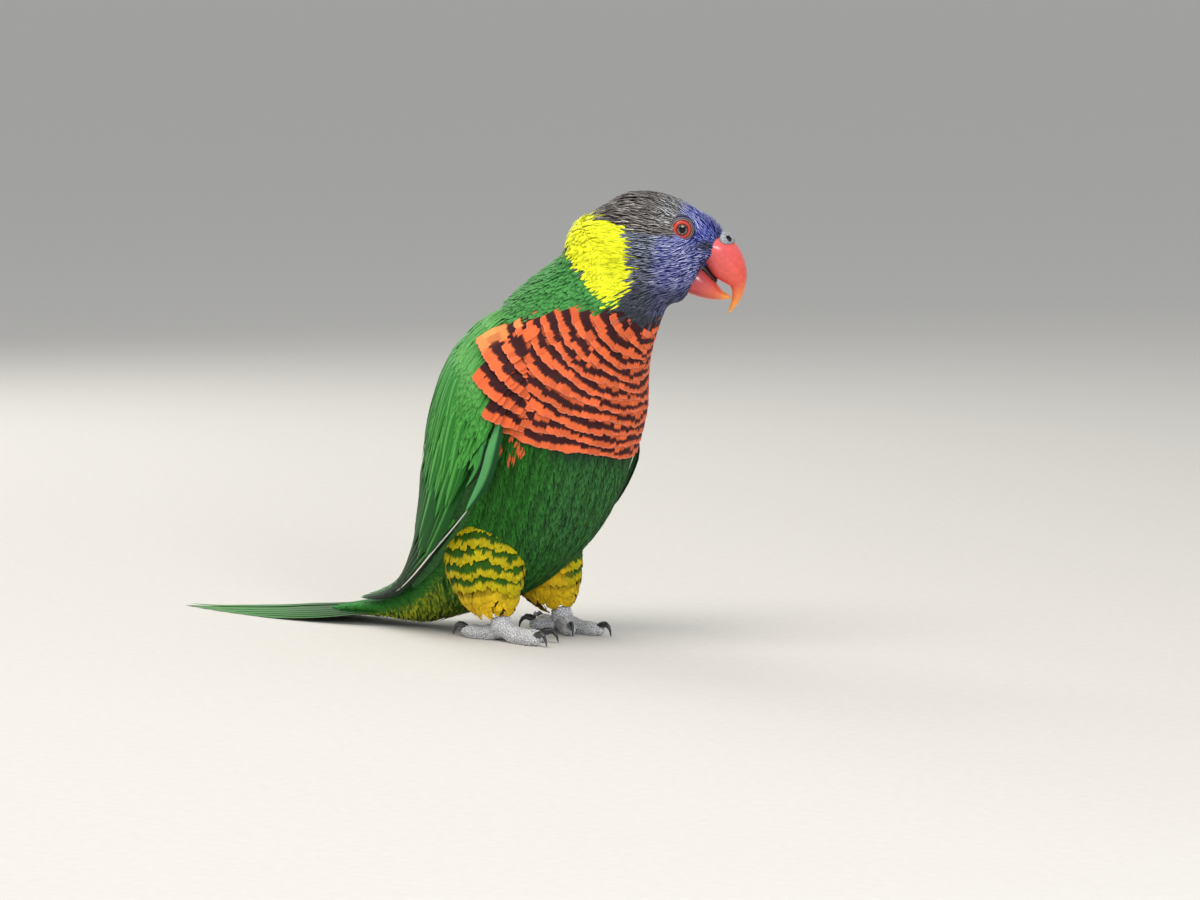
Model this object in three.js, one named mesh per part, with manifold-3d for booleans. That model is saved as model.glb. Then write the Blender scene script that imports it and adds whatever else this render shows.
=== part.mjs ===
// A rainbow lorikeet standing upright on the floor, life size, as a still museum model.
// Millimetres. The body faces +X, its left side is +Y and +Z is up; the floor is z = 0.
// The flesh is one loft along a curved spine with the head joined to it, parted by thin plane cuts.
// Wings, thighs, bill, feet and tail are fitted against it with a small gap all round.
import * as THREE from "three";
import { mergeVertices } from "three/addons/utils/BufferGeometryUtils.js";
import Module from "manifold-3d";

const wasm = await Module();
wasm.setup();

// Driving sizes
const GAP = 0.3; // clearance kept between neighbouring pieces
const BEYOND = 1000; // a size larger than the whole bird
const LEG_SPREAD = 33; // between the middles of the two feet
const FOOT_TURN = { left: 20, right: 10 }; // degrees that each foot points to the bird's right
const HEAD_CENTRE = [40.6, 5.2, 126.6];
const HEAD_TURN = 31; // degrees to the bird's left of the body's heading
const HEAD_DIP = 8; // degrees below level
const WING_SPREAD = { left: 1.13, right: 1 }; // how far each wing comes round the breast
const EYE_RADIUS = 4.7;
const ORIGIN = [-39.8, 0]; // the middle of the whole bird's box, as seen from above

// Mesh fineness
const TAIL_CORE_STEPS = 6;
const TRUNK_STEPS = 24;
const TRUNK_SIDES = 28;
const HEAD_STEPS = 16;
const HEAD_SIDES = 22;

// The spine from inside the tail to the head, in x, y, z. The tail leaves the body at TAIL_ROOT_POINT.
const SPINE_POINTS = [
  [-100, 0, 2.4],
  [-72, 0, 4.6],
  [-46, 0, 9],
  [-32, 0, 17],
  [-17, 0, 32],
  [-5, 0, 52],
  [4, 0, 74],
  [13, 0, 93],
  [25, 1, 108],
  [39, 5, 122],
];
const TAIL_ROOT_POINT = 2;

// Trunk sections at distances along the spine from the tail root: depth to the back, depth to the
// belly, half width.
const TRUNK_SECTIONS = [
  [-38, 0.6, 1, 6.5],
  [-30, 1.8, 1.9, 9],
  [-16, 3, 3.6, 10.5],
  [0, 6, 8.2, 12],
  [16, 12, 14, 17],
  [37, 20, 25, 23],
  [60, 26, 33.5, 28],
  [84, 28, 34, 31],
  [105, 26, 31, 29],
  [124, 21, 22.5, 22],
  [138, 17.5, 17, 17.5],
  [145, 15, 14, 15.5],
];
const TAIL_CORE_END = -36;
const TRUNK_START = -6;
const TRUNK_END = 144;
const TAIL_CUT = 1; // where the thin cuts part tail, torso, neck and head
const NECK_CUT = 108;
const HEAD_CUT = 131;

// Head sections along the head's own forward axis: top, bottom, half width.
const HEAD_SECTIONS = [
  [-25, 4, -8, 6],
  [-22, 9.5, -13, 11],
  [-17, 14, -16, 14],
  [-9, 18, -17.5, 16],
  [0, 19.4, -17.5, 16.6],
  [8, 18.4, -16.5, 16],
  [14, 16, -14.5, 13.8],
  [18, 13.8, -11.5, 11.2],
  [21, 11.8, -6.5, 8.4],
  [23.2, 10, 0, 5],
];

const lerp = THREE.MathUtils.lerp;
const rad = THREE.MathUtils.degToRad;
const vec = (x, y, z) => new THREE.Vector3(x, y, z);

// A smooth function through rows of [position, value, value...], by Hermite spans.
function smooth(rows) {
  const slope = (i, k) => {
    const a = rows[Math.max(i - 1, 0)];
    const b = rows[Math.min(i + 1, rows.length - 1)];
    return (b[k] - a[k]) / (b[0] - a[0]);
  };
  return (at) => {
    const last = rows.length - 1;
    const x = THREE.MathUtils.clamp(at, rows[0][0], rows[last][0]);
    let i = 0;
    while (i < last - 1 && x > rows[i + 1][0]) i += 1;
    const span = rows[i + 1][0] - rows[i][0];
    const t = (x - rows[i][0]) / span;
    return rows[i].slice(1).map((p, j) => {
      const q = rows[i + 1][j + 1];
      const m = slope(i, j + 1) * span;
      const n = slope(i + 1, j + 1) * span;
      return (
        (2 * t ** 3 - 3 * t ** 2 + 1) * p +
        (t ** 3 - 2 * t ** 2 + t) * m +
        (3 * t ** 2 - 2 * t ** 3) * q +
        (t ** 3 - t ** 2) * n
      );
    });
  };
}

// A closed geometry from points and triangles.
function geometryOf(points, triangles) {
  const geometry = new THREE.BufferGeometry();
  geometry.setAttribute(
    "position",
    new THREE.Float32BufferAttribute(
      points.flatMap((p) => [p.x, p.y, p.z]),
      3,
    ),
  );
  geometry.setIndex(triangles);
  return geometry;
}

// A solid skinned over rings of equally many points, each end closed by a fan to its middle.
// From the ring point underFrom on, the quads are split the other way, so that the two faces of a
// thin sheet have their diagonals alike.
function loft(rings, underFrom = Infinity) {
  const sides = rings[0].length;
  const points = rings.flat();
  const triangles = [];
  for (let i = 0; i < rings.length - 1; i += 1) {
    for (let j = 0; j < sides; j += 1) {
      const a = i * sides + j;
      const b = i * sides + ((j + 1) % sides);
      if (j < underFrom) triangles.push(a, b, b + sides, a, b + sides, a + sides);
      else triangles.push(a, b, a + sides, b, b + sides, a + sides);
    }
  }
  const lastRing = (rings.length - 1) * sides;
  const middle = (ring) =>
    ring.reduce((sum, p) => sum.add(p), vec(0, 0, 0)).divideScalar(sides);
  points.push(middle(rings[0]), middle(rings[rings.length - 1]));
  for (let j = 0; j < sides; j += 1) {
    const k = (j + 1) % sides;
    triangles.push(points.length - 2, k, j);
    triangles.push(points.length - 1, lastRing + j, lastRing + k);
  }
  return facingOut(solidOf(geometryOf(points, triangles)));
}

function solidOf(geometry) {
  const bare = geometry.clone();
  bare.deleteAttribute("normal");
  bare.deleteAttribute("uv");
  const merged = mergeVertices(bare, 1e-4);
  return new wasm.Manifold(
    new wasm.Mesh({
      numProp: 3,
      vertProperties: merged.attributes.position.array,
      triVerts: new Uint32Array(merged.index.array),
    }),
  );
}

// The same solid with its faces turned round where they point inwards.
function facingOut(solid) {
  if (solid.volume() > 0) return solid;
  const mesh = solid.getMesh();
  const turned = mesh.triVerts.slice();
  for (let i = 0; i < turned.length; i += 3) {
    [turned[i + 1], turned[i + 2]] = [turned[i + 2], turned[i + 1]];
  }
  return new wasm.Manifold(
    new wasm.Mesh({
      numProp: 3,
      vertProperties: mesh.vertProperties,
      triVerts: turned,
    }),
  );
}

const join = (solids) => solids.reduce((a, b) => a.add(b));
const largest = (solid) =>
  solid.decompose().sort((a, b) => b.volume() - a.volume())[0];

function mirrored(solid) {
  const mesh = solid.getMesh();
  const points = mesh.vertProperties.slice();
  for (let i = 1; i < points.length; i += 3) points[i] = -points[i];
  const turned = mesh.triVerts.slice();
  for (let i = 0; i < turned.length; i += 3) {
    [turned[i + 1], turned[i + 2]] = [turned[i + 2], turned[i + 1]];
  }
  return new wasm.Manifold(
    new wasm.Mesh({ numProp: 3, vertProperties: points, triVerts: turned }),
  );
}

// A box whose local z runs along a direction, centred on a point.
function orientedBox(at, along, width, depth) {
  const box = new THREE.BoxGeometry(width, width, depth);
  box.applyQuaternion(
    new THREE.Quaternion().setFromUnitVectors(vec(0, 0, 1), along),
  );
  box.translate(at.x, at.y, at.z);
  return solidOf(box);
}

const ABOVE_FLOOR = orientedBox(
  vec(0, 0, BEYOND / 2),
  vec(0, 0, 1),
  BEYOND,
  BEYOND,
);
const LEFT_HALF = orientedBox(
  vec(0, (BEYOND + GAP) / 2, 0),
  vec(0, 0, 1),
  BEYOND,
  BEYOND,
);

// Spine and trunk
const spineCurve = new THREE.CatmullRomCurve3(
  SPINE_POINTS.map((p) => vec(...p)),
  false,
  "centripetal",
);
const SPINE_SAMPLES = 900;
const spineLengths = spineCurve.getLengths(SPINE_SAMPLES);
const tailRootLength =
  spineLengths[
    Math.round((TAIL_ROOT_POINT / (SPINE_POINTS.length - 1)) * SPINE_SAMPLES)
  ];
const spineLength = spineLengths[SPINE_SAMPLES];

// Where the spine is at a distance from the tail root, with its directions to the back and the left.
function spineFrame(distance) {
  const u = THREE.MathUtils.clamp(
    (distance + tailRootLength) / spineLength,
    0,
    1,
  );
  const at = spineCurve.getPointAt(u);
  const along = spineCurve.getTangentAt(u);
  const turn = rad(HEAD_TURN) * THREE.MathUtils.smoothstep(distance, 100, 150);
  const side = vec(-Math.sin(turn), Math.cos(turn), 0);
  const back = along.clone().cross(side).normalize();
  const left = back.clone().cross(along).normalize();
  return { at, along, back, left };
}

// A point of a section: angle 0 is the back, 90 the left flank, 180 the belly, in degrees.
function sectionPoint(distance, angle, toBack, toBelly, halfWidth) {
  const { at, back, left } = spineFrame(distance);
  const c = Math.cos(rad(angle));
  return at
    .clone()
    .addScaledVector(back, c * (c > 0 ? toBack : toBelly))
    .addScaledVector(left, Math.sin(rad(angle)) * halfWidth);
}

const trunkSection = smooth(TRUNK_SECTIONS);
function trunkPoint(distance, angle, grow = 0) {
  const [toBack, toBelly, halfWidth] = trunkSection(distance);
  return sectionPoint(
    distance,
    angle,
    toBack + grow,
    toBelly + grow,
    halfWidth + grow,
  );
}

const ringOf = (sides, pointAt) =>
  Array.from({ length: sides }, (_, j) => pointAt((360 * j) / sides));

const stations = (from, to, steps) =>
  Array.from({ length: steps + 1 }, (_, i) => lerp(from, to, i / steps));

function trunk(grow) {
  const distances = [
    ...stations(TAIL_CORE_END - grow, TRUNK_START, TAIL_CORE_STEPS).slice(0, -1),
    ...stations(TRUNK_START, TRUNK_END + grow, TRUNK_STEPS),
  ];
  return loft(
    distances.map((distance) =>
      ringOf(TRUNK_SIDES, (a) => trunkPoint(distance, a, grow)),
    ),
  );
}

// Head frame: forward, left and up, and a point given in it.
const headForward = vec(
  Math.cos(rad(HEAD_DIP)) * Math.cos(rad(HEAD_TURN)),
  Math.cos(rad(HEAD_DIP)) * Math.sin(rad(HEAD_TURN)),
  -Math.sin(rad(HEAD_DIP)),
);
const headLeft = vec(-Math.sin(rad(HEAD_TURN)), Math.cos(rad(HEAD_TURN)), 0);
const headUp = headForward.clone().cross(headLeft);
const headPoint = (forward, left, up) =>
  vec(...HEAD_CENTRE)
    .addScaledVector(headForward, forward)
    .addScaledVector(headLeft, left)
    .addScaledVector(headUp, up);

const headSection = smooth(HEAD_SECTIONS);
function headForm(grow) {
  const first = HEAD_SECTIONS[0][0];
  const last = HEAD_SECTIONS[HEAD_SECTIONS.length - 1][0];
  const rings = [];
  for (let i = 0; i <= HEAD_STEPS; i += 1) {
    const forward = lerp(first, last, i / HEAD_STEPS);
    const [top, bottom, halfWidth] = headSection(forward);
    const shift = grow * lerp(-1, 1, i / HEAD_STEPS);
    rings.push(
      ringOf(HEAD_SIDES, (a) =>
        headPoint(
          forward + shift,
          (halfWidth + grow) * Math.sin(rad(a)),
          (top + bottom) / 2 +
            ((top - bottom) / 2 + grow) * Math.cos(rad(a)),
        ),
      ),
    );
  }
  return loft(rings);
}

// Eyes: a ball in a socket, inside a raised ring of bare lid
const EYE_AT = [10.9, 10.1, 9.2]; // forward, sideways and up from the head's middle
const LID_RADIUS = 4.1;
const LID_THICKNESS = 0.95;
const LID_OUT = 2.9; // from the middle of the eye to the plane of its lid ring
const EYE_TURN = 12; // degrees that each eye looks forward of straight sideways

function eyeBall(side, radius) {
  const [forward, sideways, up] = EYE_AT;
  const ball = new THREE.IcosahedronGeometry(radius, 2);
  const at = headPoint(forward, side * sideways, up);
  ball.translate(at.x, at.y, at.z);
  return solidOf(ball);
}

// The way an eye looks: outwards, a little forward and level.
const gaze = (side) =>
  headLeft
    .clone()
    .multiplyScalar(side * Math.cos(rad(EYE_TURN)))
    .addScaledVector(headForward, Math.sin(rad(EYE_TURN)));

function lidRing(side) {
  const ring = new THREE.TorusGeometry(LID_RADIUS, LID_THICKNESS, 5, 18);
  ring.applyQuaternion(
    new THREE.Quaternion().setFromUnitVectors(vec(0, 0, 1), gaze(side)),
  );
  const [forward, sideways, up] = EYE_AT;
  const at = headPoint(forward, side * sideways, up).addScaledVector(
    gaze(side),
    LID_OUT,
  );
  ring.translate(at.x, at.y, at.z);
  return solidOf(ring);
}

// Bill: sections between the ridge and the cutting edge, as forward and up of each, and half width.
const UPPER_BILL = [
  [0, 19.5, 9.4, 14, 0.5, 6.2],
  [0.18, 25.6, 8, 18.7, -0.6, 6.1],
  [0.36, 29.8, 5.2, 22.4, -3.8, 5.5],
  [0.55, 32.8, -0.2, 26.4, -6.3, 4.5],
  [0.7, 33.6, -5.2, 28.7, -7.5, 3.2],
  [0.85, 32.8, -10.6, 29.7, -10.2, 1.7],
  [0.95, 31, -14.2, 29.5, -13.5, 0.9],
  [1, 29.6, -16.2, 29.1, -15.8, 0.35],
];
const LOWER_BILL = [
  [0, 15.5, -3, 11.5, -10.6, 5.4],
  [0.3, 19.4, -3.4, 16.5, -11.6, 5.4],
  [0.55, 23.3, -6.2, 21.3, -12.4, 4.6],
  [0.8, 26.4, -8.8, 25.7, -12.3, 3.2],
  [0.95, 28.6, -10, 28.6, -11.6, 1.8],
  [1, 29.3, -10.4, 29.4, -11, 0.9],
];
const BILL_STEPS = 12;
const BILL_SIDES = 14;

function billHalf(rows, grow) {
  const section = smooth(rows);
  const rings = [];
  for (let i = 0; i <= BILL_STEPS; i += 1) {
    const [ridgeF, ridgeU, edgeF, edgeU, halfWidth] = section(i / BILL_STEPS);
    const ridge = vec(ridgeF, 0, ridgeU);
    const edge = vec(edgeF, 0, edgeU);
    const across = ridge.clone().sub(edge).normalize();
    ridge.addScaledVector(across, grow);
    edge.addScaledVector(across, -grow);
    rings.push(
      ringOf(BILL_SIDES, (a) => {
        const p = edge.clone().lerp(ridge, 0.5 + 0.5 * Math.cos(rad(a)));
        return headPoint(p.x, (halfWidth + grow) * Math.sin(rad(a)), p.z);
      }),
    );
  }
  return loft(rings);
}

// Cere: the bare swelling over the root of the bill, with a nostril dent on each side
const CERE_AT = [24.5, 0, 6.8];
const CERE_HALF = [3.9, 5.4, 3.1];
const NOSTRIL_AT = [26.2, 3.7, 7.9];
const NOSTRIL_RADIUS = 0.85;

function cere() {
  const ball = new THREE.SphereGeometry(1, 12, 8);
  const bump = ball.clone().scale(...CERE_HALF);
  const place = (geometry, [forward, sideways, up]) => {
    geometry.applyMatrix4(
      new THREE.Matrix4()
        .makeBasis(headForward, headLeft, headUp)
        .setPosition(headPoint(forward, sideways, up)),
    );
    return solidOf(geometry);
  };
  let made = place(bump, CERE_AT);
  for (const side of [-1, 1]) {
    const dent = new THREE.SphereGeometry(NOSTRIL_RADIUS, 8, 6);
    const [forward, sideways, up] = NOSTRIL_AT;
    made = made.subtract(place(dent, [forward, side * sideways, up]));
  }
  return made;
}

// Legs: a feathered thigh, then a bare shank with two toes forward and two back
const THIGH_SECTIONS = [
  // share of the way down: x, z, depth fore and aft, half width
  [0, -14, 42, 7, 6],
  [0.18, -11, 35, 12, 10],
  [0.45, -8, 25, 13.5, 11],
  [0.72, -5, 15.5, 10.5, 8.5],
  [0.92, -2.5, 9.6, 6, 5],
  [1, -1.8, 8, 3.6, 3.2],
];
const THIGH_STEPS = 10;
const THIGH_SIDES = 18;
const HIP_INWARD = 2; // how far the thigh's top lies nearer the middle than the foot

function thigh(grow) {
  const section = smooth(THIGH_SECTIONS);
  const rings = [];
  for (let i = 0; i <= THIGH_STEPS; i += 1) {
    const t = i / THIGH_STEPS;
    const [x, z, depth, halfWidth] = section(t);
    const y = LEG_SPREAD / 2 - HIP_INWARD * (1 - t);
    const end = t === 0 ? grow : t === 1 ? -grow : 0;
    rings.push(
      ringOf(THIGH_SIDES, (a) =>
        vec(
          x + (depth + grow) * Math.cos(rad(a)),
          y + (halfWidth + grow) * Math.sin(rad(a)),
          z + end + 0.35 * depth * Math.cos(rad(a)),
        ),
      ),
    );
  }
  return loft(rings);
}

const SHANK_TOP = [-2.6, 12]; // x and z where the bare shank leaves the thigh
const SHANK_RADIUS = 3.1;
const FOOT_AT = [-0.5, 4.2];
const SOLE_DROP = 0.5; // how far the toes are cut flat on the floor
const TOES = [
  // direction from straight ahead towards the inner side in degrees, length, radius at the root
  { name: "hind_inner", turn: 150, length: 12, radius: 2.5 },
  { name: "front_inner", turn: 24, length: 15.5, radius: 2.7 },
  { name: "front_outer", turn: -7, length: 20, radius: 2.8 },
  { name: "hind_outer", turn: 186, length: 17, radius: 2.8 },
];
const TOE_STEPS = 7;
const TOE_SIDES = 8;
const TOE_PADS = 3;
const SHANK_SIDES = 10;

// A tube round points given with their radii; each is [Vector3, radius].
function tube(stops, sides, flatten = 1) {
  const curve = new THREE.CatmullRomCurve3(stops.map(([p]) => p));
  const rings = stops.map(([at, radius], i) => {
    const along = curve.getTangent(i / (stops.length - 1));
    const side = vec(0, 0, 1).cross(along);
    if (side.length() < 0.05) side.set(0, 1, 0);
    side.normalize();
    const up = along.clone().cross(side).normalize();
    return ringOf(sides, (a) =>
      at
        .clone()
        .addScaledVector(side, radius * Math.sin(rad(a)))
        .addScaledVector(up, radius * flatten * Math.cos(rad(a))),
    );
  });
  return loft(rings);
}

// The way a toe points on a foot that is turned towards its inner side by some degrees.
const toeDirection = (toe, footTurn) =>
  vec(Math.cos(rad(toe.turn + footTurn)), -Math.sin(rad(toe.turn + footTurn)), 0);
const footMiddle = vec(FOOT_AT[0], LEG_SPREAD / 2, FOOT_AT[1]);

function toeRadius(toe, t) {
  const taper = toe.radius * lerp(1.02, 0.8, t);
  return taper + 0.18 * Math.cos(2 * Math.PI * TOE_PADS * t);
}

function toeSolid(toe, footTurn, grow) {
  const tipHeight = toeRadius(toe, 1) - SOLE_DROP;
  const stops = stations(0, 1, TOE_STEPS).map((t) => {
    const rounding = Math.sqrt(1 - (Math.max(0, t - 0.86) / 0.155) ** 2);
    const radius = toeRadius(toe, t);
    const at = footMiddle
      .clone()
      .addScaledVector(toeDirection(toe, footTurn), toe.length * t);
    at.z = Math.max(
      lerp(FOOT_AT[1], tipHeight, Math.min(1, 2.6 * t)),
      radius - SOLE_DROP,
    );
    return [at, radius * rounding + grow];
  });
  return tube(stops, TOE_SIDES);
}

function foot(footTurn, grow = 0) {
  const top = vec(SHANK_TOP[0], LEG_SPREAD / 2, SHANK_TOP[1]);
  const low = footMiddle.clone().add(vec(0.4, 0, -1.6));
  const shank = tube(
    [
      [top, SHANK_RADIUS + grow],
      [top.clone().lerp(footMiddle, 0.5), SHANK_RADIUS + grow],
      [footMiddle, SHANK_RADIUS * 1.2 + grow],
      [low, SHANK_RADIUS * 0.9 + grow],
    ],
    SHANK_SIDES,
  );
  const toes = TOES.map((toe) => toeSolid(toe, footTurn, grow));
  return join([shank, ...toes]).intersect(ABOVE_FLOOR);
}

// A curved claw that leaves the end of a toe, arches and comes down to the floor.
const CLAW_REACH = 5.8;
const CLAW_RISE = 1.5;
const CLAW_ROOT_HEIGHT = 3.1;
const CLAW_TIP_HEIGHT = 0.4;
const CLAW_RADIUS = 1.25;
const CLAW_STEPS = 5;
const CLAW_SIDES = 6;

function claw(toe, footTurn) {
  const stops = stations(0, 1, CLAW_STEPS).map((t) => {
    const reach = toe.length - 1.6 + CLAW_REACH * Math.sin(1.4 * t);
    const at = footMiddle
      .clone()
      .addScaledVector(toeDirection(toe, footTurn), reach);
    at.z =
      lerp(CLAW_ROOT_HEIGHT, CLAW_TIP_HEIGHT, t ** 2) +
      CLAW_RISE * Math.sin(Math.PI * t);
    return [at, lerp(CLAW_RADIUS, 0.2, t ** 1.3)];
  });
  return tube(stops, CLAW_SIDES, 1.15);
}

// One feather's vane along a path, with its outward direction: a blade with a raised shaft, leaning
// so that its leading edge stands over the next feather. The tip tapers over the share of the
// length called point, to a round end with sharpness 0.5 or a sharper one with more. The inner edge
// has a thickness of its own where it shows, and otherwise runs out thin under the next feather.
const VANE_STATIONS = [0, 0.25, 0.55, 0.8, 0.94, 1];
const VANE_THICKNESS = 0.6;
const VANE_LEAN = 0.13;
const SHAFT_RISE = 0.3;
const SHAFT_PLACE = 0.25; // share of the half width that the shaft lies in front of the middle

function vane({
  path,
  outward,
  halfWidth,
  point,
  sharpness,
  lean = VANE_LEAN,
  innerEdge = true,
}) {
  const rings = VANE_STATIONS.map((t) => {
    const at = path(t);
    const along = path(Math.min(t + 0.02, 1)).sub(path(Math.max(t - 0.02, 0)));
    const front = along.cross(outward(t)).normalize();
    const up = outward(t);
    const taper = THREE.MathUtils.clamp((t - 1 + point) / point, 0, 1);
    const width =
      halfWidth *
      lerp(0.6, 1, Math.min(1, 3 * t)) *
      (1 - taper ** 2) ** sharpness;
    const w = Math.max(width, 0.3);
    const thickness = VANE_THICKNESS * lerp(1, 0.6, taper ** 2);
    const offset = (across, height) =>
      at
        .clone()
        .addScaledVector(front, across * w)
        .addScaledVector(up, height + across * w * lean);
    const top = [
      offset(1, 0),
      offset(SHAFT_PLACE, SHAFT_RISE * (1 - taper ** 3)),
      offset(-1, 0),
    ];
    const underInner = innerEdge ? [offset(-1, -thickness)] : [];
    return [...top, ...underInner, offset(1, -thickness)];
  });
  return loft(rings, 2);
}

// A repeatable source of small differences between feathers, from -1 to 1.
function variation(seed) {
  let state = seed;
  return () => {
    state = (state * 16807) % 2147483647;
    return (2 * state) / 2147483647 - 1;
  };
}

// Wings: a cloak round the trunk's spine, from the shoulder to the tips that lie over the tail.
// Distance along the spine: depth to the back, half width, thickness of the wing's body.
const CLOAK_SECTIONS = [
  [-40, 4.4, 8, 1.2],
  [-28, 5.2, 9.6, 1.4],
  [-16, 6.4, 12, 1.6],
  [0, 10, 15.5, 2.2],
  [16, 16.8, 20.5, 3.6],
  [37, 26, 27.5, 8],
  [60, 32.8, 32.5, 11],
  [84, 34, 34.5, 12],
  [101, 30.5, 32.5, 12],
  [112, 26.5, 28.5, 9],
];
const cloakSection = smooth(CLOAK_SECTIONS);

// Distance along the spine: angles from the back of the wing's inner edge and its front edge.
const WING_EDGES = [
  [0, 3, 76],
  [16, 2, 88],
  [37, 2, 95],
  [60, 5, 99],
  [80, 14, 100],
  [96, 26, 95],
  [107, 38, 84],
  [112, 46, 74],
];
const wingEdges = smooth(WING_EDGES);

function cloakPoint(distance, angle, lift) {
  const [toBack, halfWidth] = cloakSection(distance);
  return sectionPoint(
    distance,
    angle,
    toBack + lift,
    toBack + lift,
    halfWidth + lift,
  );
}

function cloakOutward(distance, angle) {
  const front = cloakPoint(distance, angle + 2, 0).sub(
    cloakPoint(distance, angle - 2, 0),
  );
  const along = cloakPoint(distance - 1, angle, 0).sub(
    cloakPoint(distance + 1, angle, 0),
  );
  return front.cross(along).normalize();
}

const WING_CORE = [12, 111]; // from the last flight feathers' roots to the shoulder
const WING_STEPS = 11;
const WING_COLUMNS = 6;
const WING_CORE_DEPTH = 0.9; // how far the wing's body lies under the feathers' level

// The wing's body: outer face from the inner edge to the front edge, and back underneath.
function wingCore(spread) {
  const rings = stations(...WING_CORE, WING_STEPS).map((distance) => {
    const [inner, front] = wingEdges(distance);
    const thickness = cloakSection(distance)[2];
    const columns = stations(0, 1, WING_COLUMNS);
    const face = (depth) =>
      columns.map((t) => {
        const rounding = 0.3 * thickness * (2 * t - 1) ** 6;
        return cloakPoint(
          distance,
          lerp(inner, front, t) * spread,
          -WING_CORE_DEPTH - depth - (depth ? 0 : rounding),
        );
      });
    return [...face(0), ...face(thickness).reverse()];
  });
  return loft(rings, WING_COLUMNS + 1);
}

// The wing's feathers, row by row, each from its front feather to its innermost one. A row gives the
// number, the first and last root and tip as distance along the spine and angle from the back, the
// half width of a vane, the height of its tip over the level, and the shape of the tip.
const ROOT_SINK = 2.2;
const WING_ROWS = [
  {
    name: "primaries",
    count: 7,
    roots: [[46, 92], [50, 38]],
    tips: [[-13, 52], [15, 11]],
    reach: 12, // how far the longest tips pass the straight line between the row's ends
    halfWidth: 4.3,
    lift: -0.2,
    point: 0.42,
    sharpness: 0.9,
    innerEdge: true,
  },
  {
    name: "secondaries",
    count: 6,
    roots: [[67, 87], [70, 38]],
    tips: [[36, 82], [29, 20]],
    reach: 0,
    halfWidth: 4.5,
    lift: 0.3,
    point: 0.26,
    sharpness: 0.55,
  },
  {
    name: "tertials",
    count: 2,
    roots: [[74, 30], [78, 18]],
    tips: [[34, 13], [41, 7]],
    reach: 0,
    halfWidth: 4.6,
    lift: 0.8,
    point: 0.3,
    sharpness: 0.55,
  },
  {
    name: "greater coverts",
    count: 6,
    roots: [[80, 88], [85, 30]],
    tips: [[57, 87], [62, 22]],
    reach: 0,
    halfWidth: 5,
    lift: 0.9,
    point: 0.45,
    sharpness: 0.5,
  },
  {
    name: "median coverts",
    count: 5,
    roots: [[95, 82], [98, 44]],
    tips: [[76, 86], [80, 34]],
    reach: 0,
    halfWidth: 5.4,
    lift: 1,
    point: 0.5,
    sharpness: 0.5,
  },
  {
    name: "front blades",
    count: 2,
    roots: [[84, 96], [82, 89]],
    tips: [[51, 97], [45, 91]],
    reach: 0,
    halfWidth: 3.3,
    lift: 1.2,
    point: 0.5,
    sharpness: 0.7,
  },
];

function wingFeathers(spread) {
  const vary = variation(20407);
  return WING_ROWS.flatMap((row) =>
    stations(0, 1, row.count - 1).map((k) => {
      const mix = ([first, last]) => first.map((v, i) => lerp(v, last[i], k));
      const root = mix(row.roots);
      const tip = mix(row.tips);
      const bulge = Math.sin(Math.PI * Math.min(1, 1.3 * k + 0.12));
      tip[0] += 0.8 * vary() - row.reach * bulge;
      tip[1] += 0.5 * vary();
      const place = (t) => [
        lerp(root[0], tip[0], t),
        lerp(root[1], tip[1], t) * spread,
        lerp(-ROOT_SINK, row.lift, THREE.MathUtils.smoothstep(t, 0, 0.45)),
      ];
      return vane({
        path: (t) => cloakPoint(...place(t)),
        outward: (t) => cloakOutward(...place(t).slice(0, 2)),
        halfWidth: row.halfWidth * (1 + 0.04 * vary()),
        point: row.point,
        sharpness: row.sharpness,
        innerEdge: row.innerEdge ?? false,
      });
    }),
  );
}

// Tail: twelve pointed feathers laid on the floor, the middle pair longest and on top. From the
// middle pair outwards: length, how far to the side the tip lies, and the root.
const TAIL_FEATHERS = [
  [100, 1.1, 1.2],
  [92, 3.8, 2.6],
  [84, 6.2, 3.7],
  [75, 8.2, 4.7],
  [67, 9.9, 5.6],
  [59, 11.3, 6.4],
];
const TAIL_HALF_WIDTH = 4.6;
const TAIL_LEAN = 0.05;
const TAIL_STACK = 0.55; // each feather's rise over the one beneath it
const TAIL_SETTLE = 16; // length over which a feather comes down where the one beneath ends
const TOP_RISE = 0.35; // of the left one of the middle pair over the right one
const TAIL_ROOT_X = -47.5;
// Distance behind the roots: height of the lowest feather's underside
const tailUnderside = smooth([
  [0, 6.4],
  [12, 4.4],
  [24, 2.5],
  [40, 0.8],
  [56, -0.15],
  [110, -0.15],
]);

function tailFeathers() {
  const made = [];
  TAIL_FEATHERS.forEach(([length, tipSide, rootSide], index) => {
    const beneath = TAIL_FEATHERS.slice(index + 1).map(([other]) => other);
    for (const side of [-1, 1]) {
      const path = (t) => {
        const back = length * t;
        const settled = (other) =>
          THREE.MathUtils.smoothstep(back, other - TAIL_SETTLE, other);
        const stack = beneath.reduce(
          (sum, other) => sum + TAIL_STACK * (1 - settled(other)),
          side > 0 && index === 0 ? TOP_RISE : 0,
        );
        return vec(
          TAIL_ROOT_X - back,
          side * lerp(rootSide, tipSide, t ** 0.8),
          tailUnderside(back)[0] + VANE_THICKNESS + stack,
        );
      };
      made.push(
        vane({
          path,
          outward: () => vec(0, 0, 1),
          halfWidth: TAIL_HALF_WIDTH * lerp(1, 0.85, index / 5),
          point: 0.55,
          sharpness: 0.8,
          lean: side * TAIL_LEAN,
        }),
      );
    }
  });
  return made;
}

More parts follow.
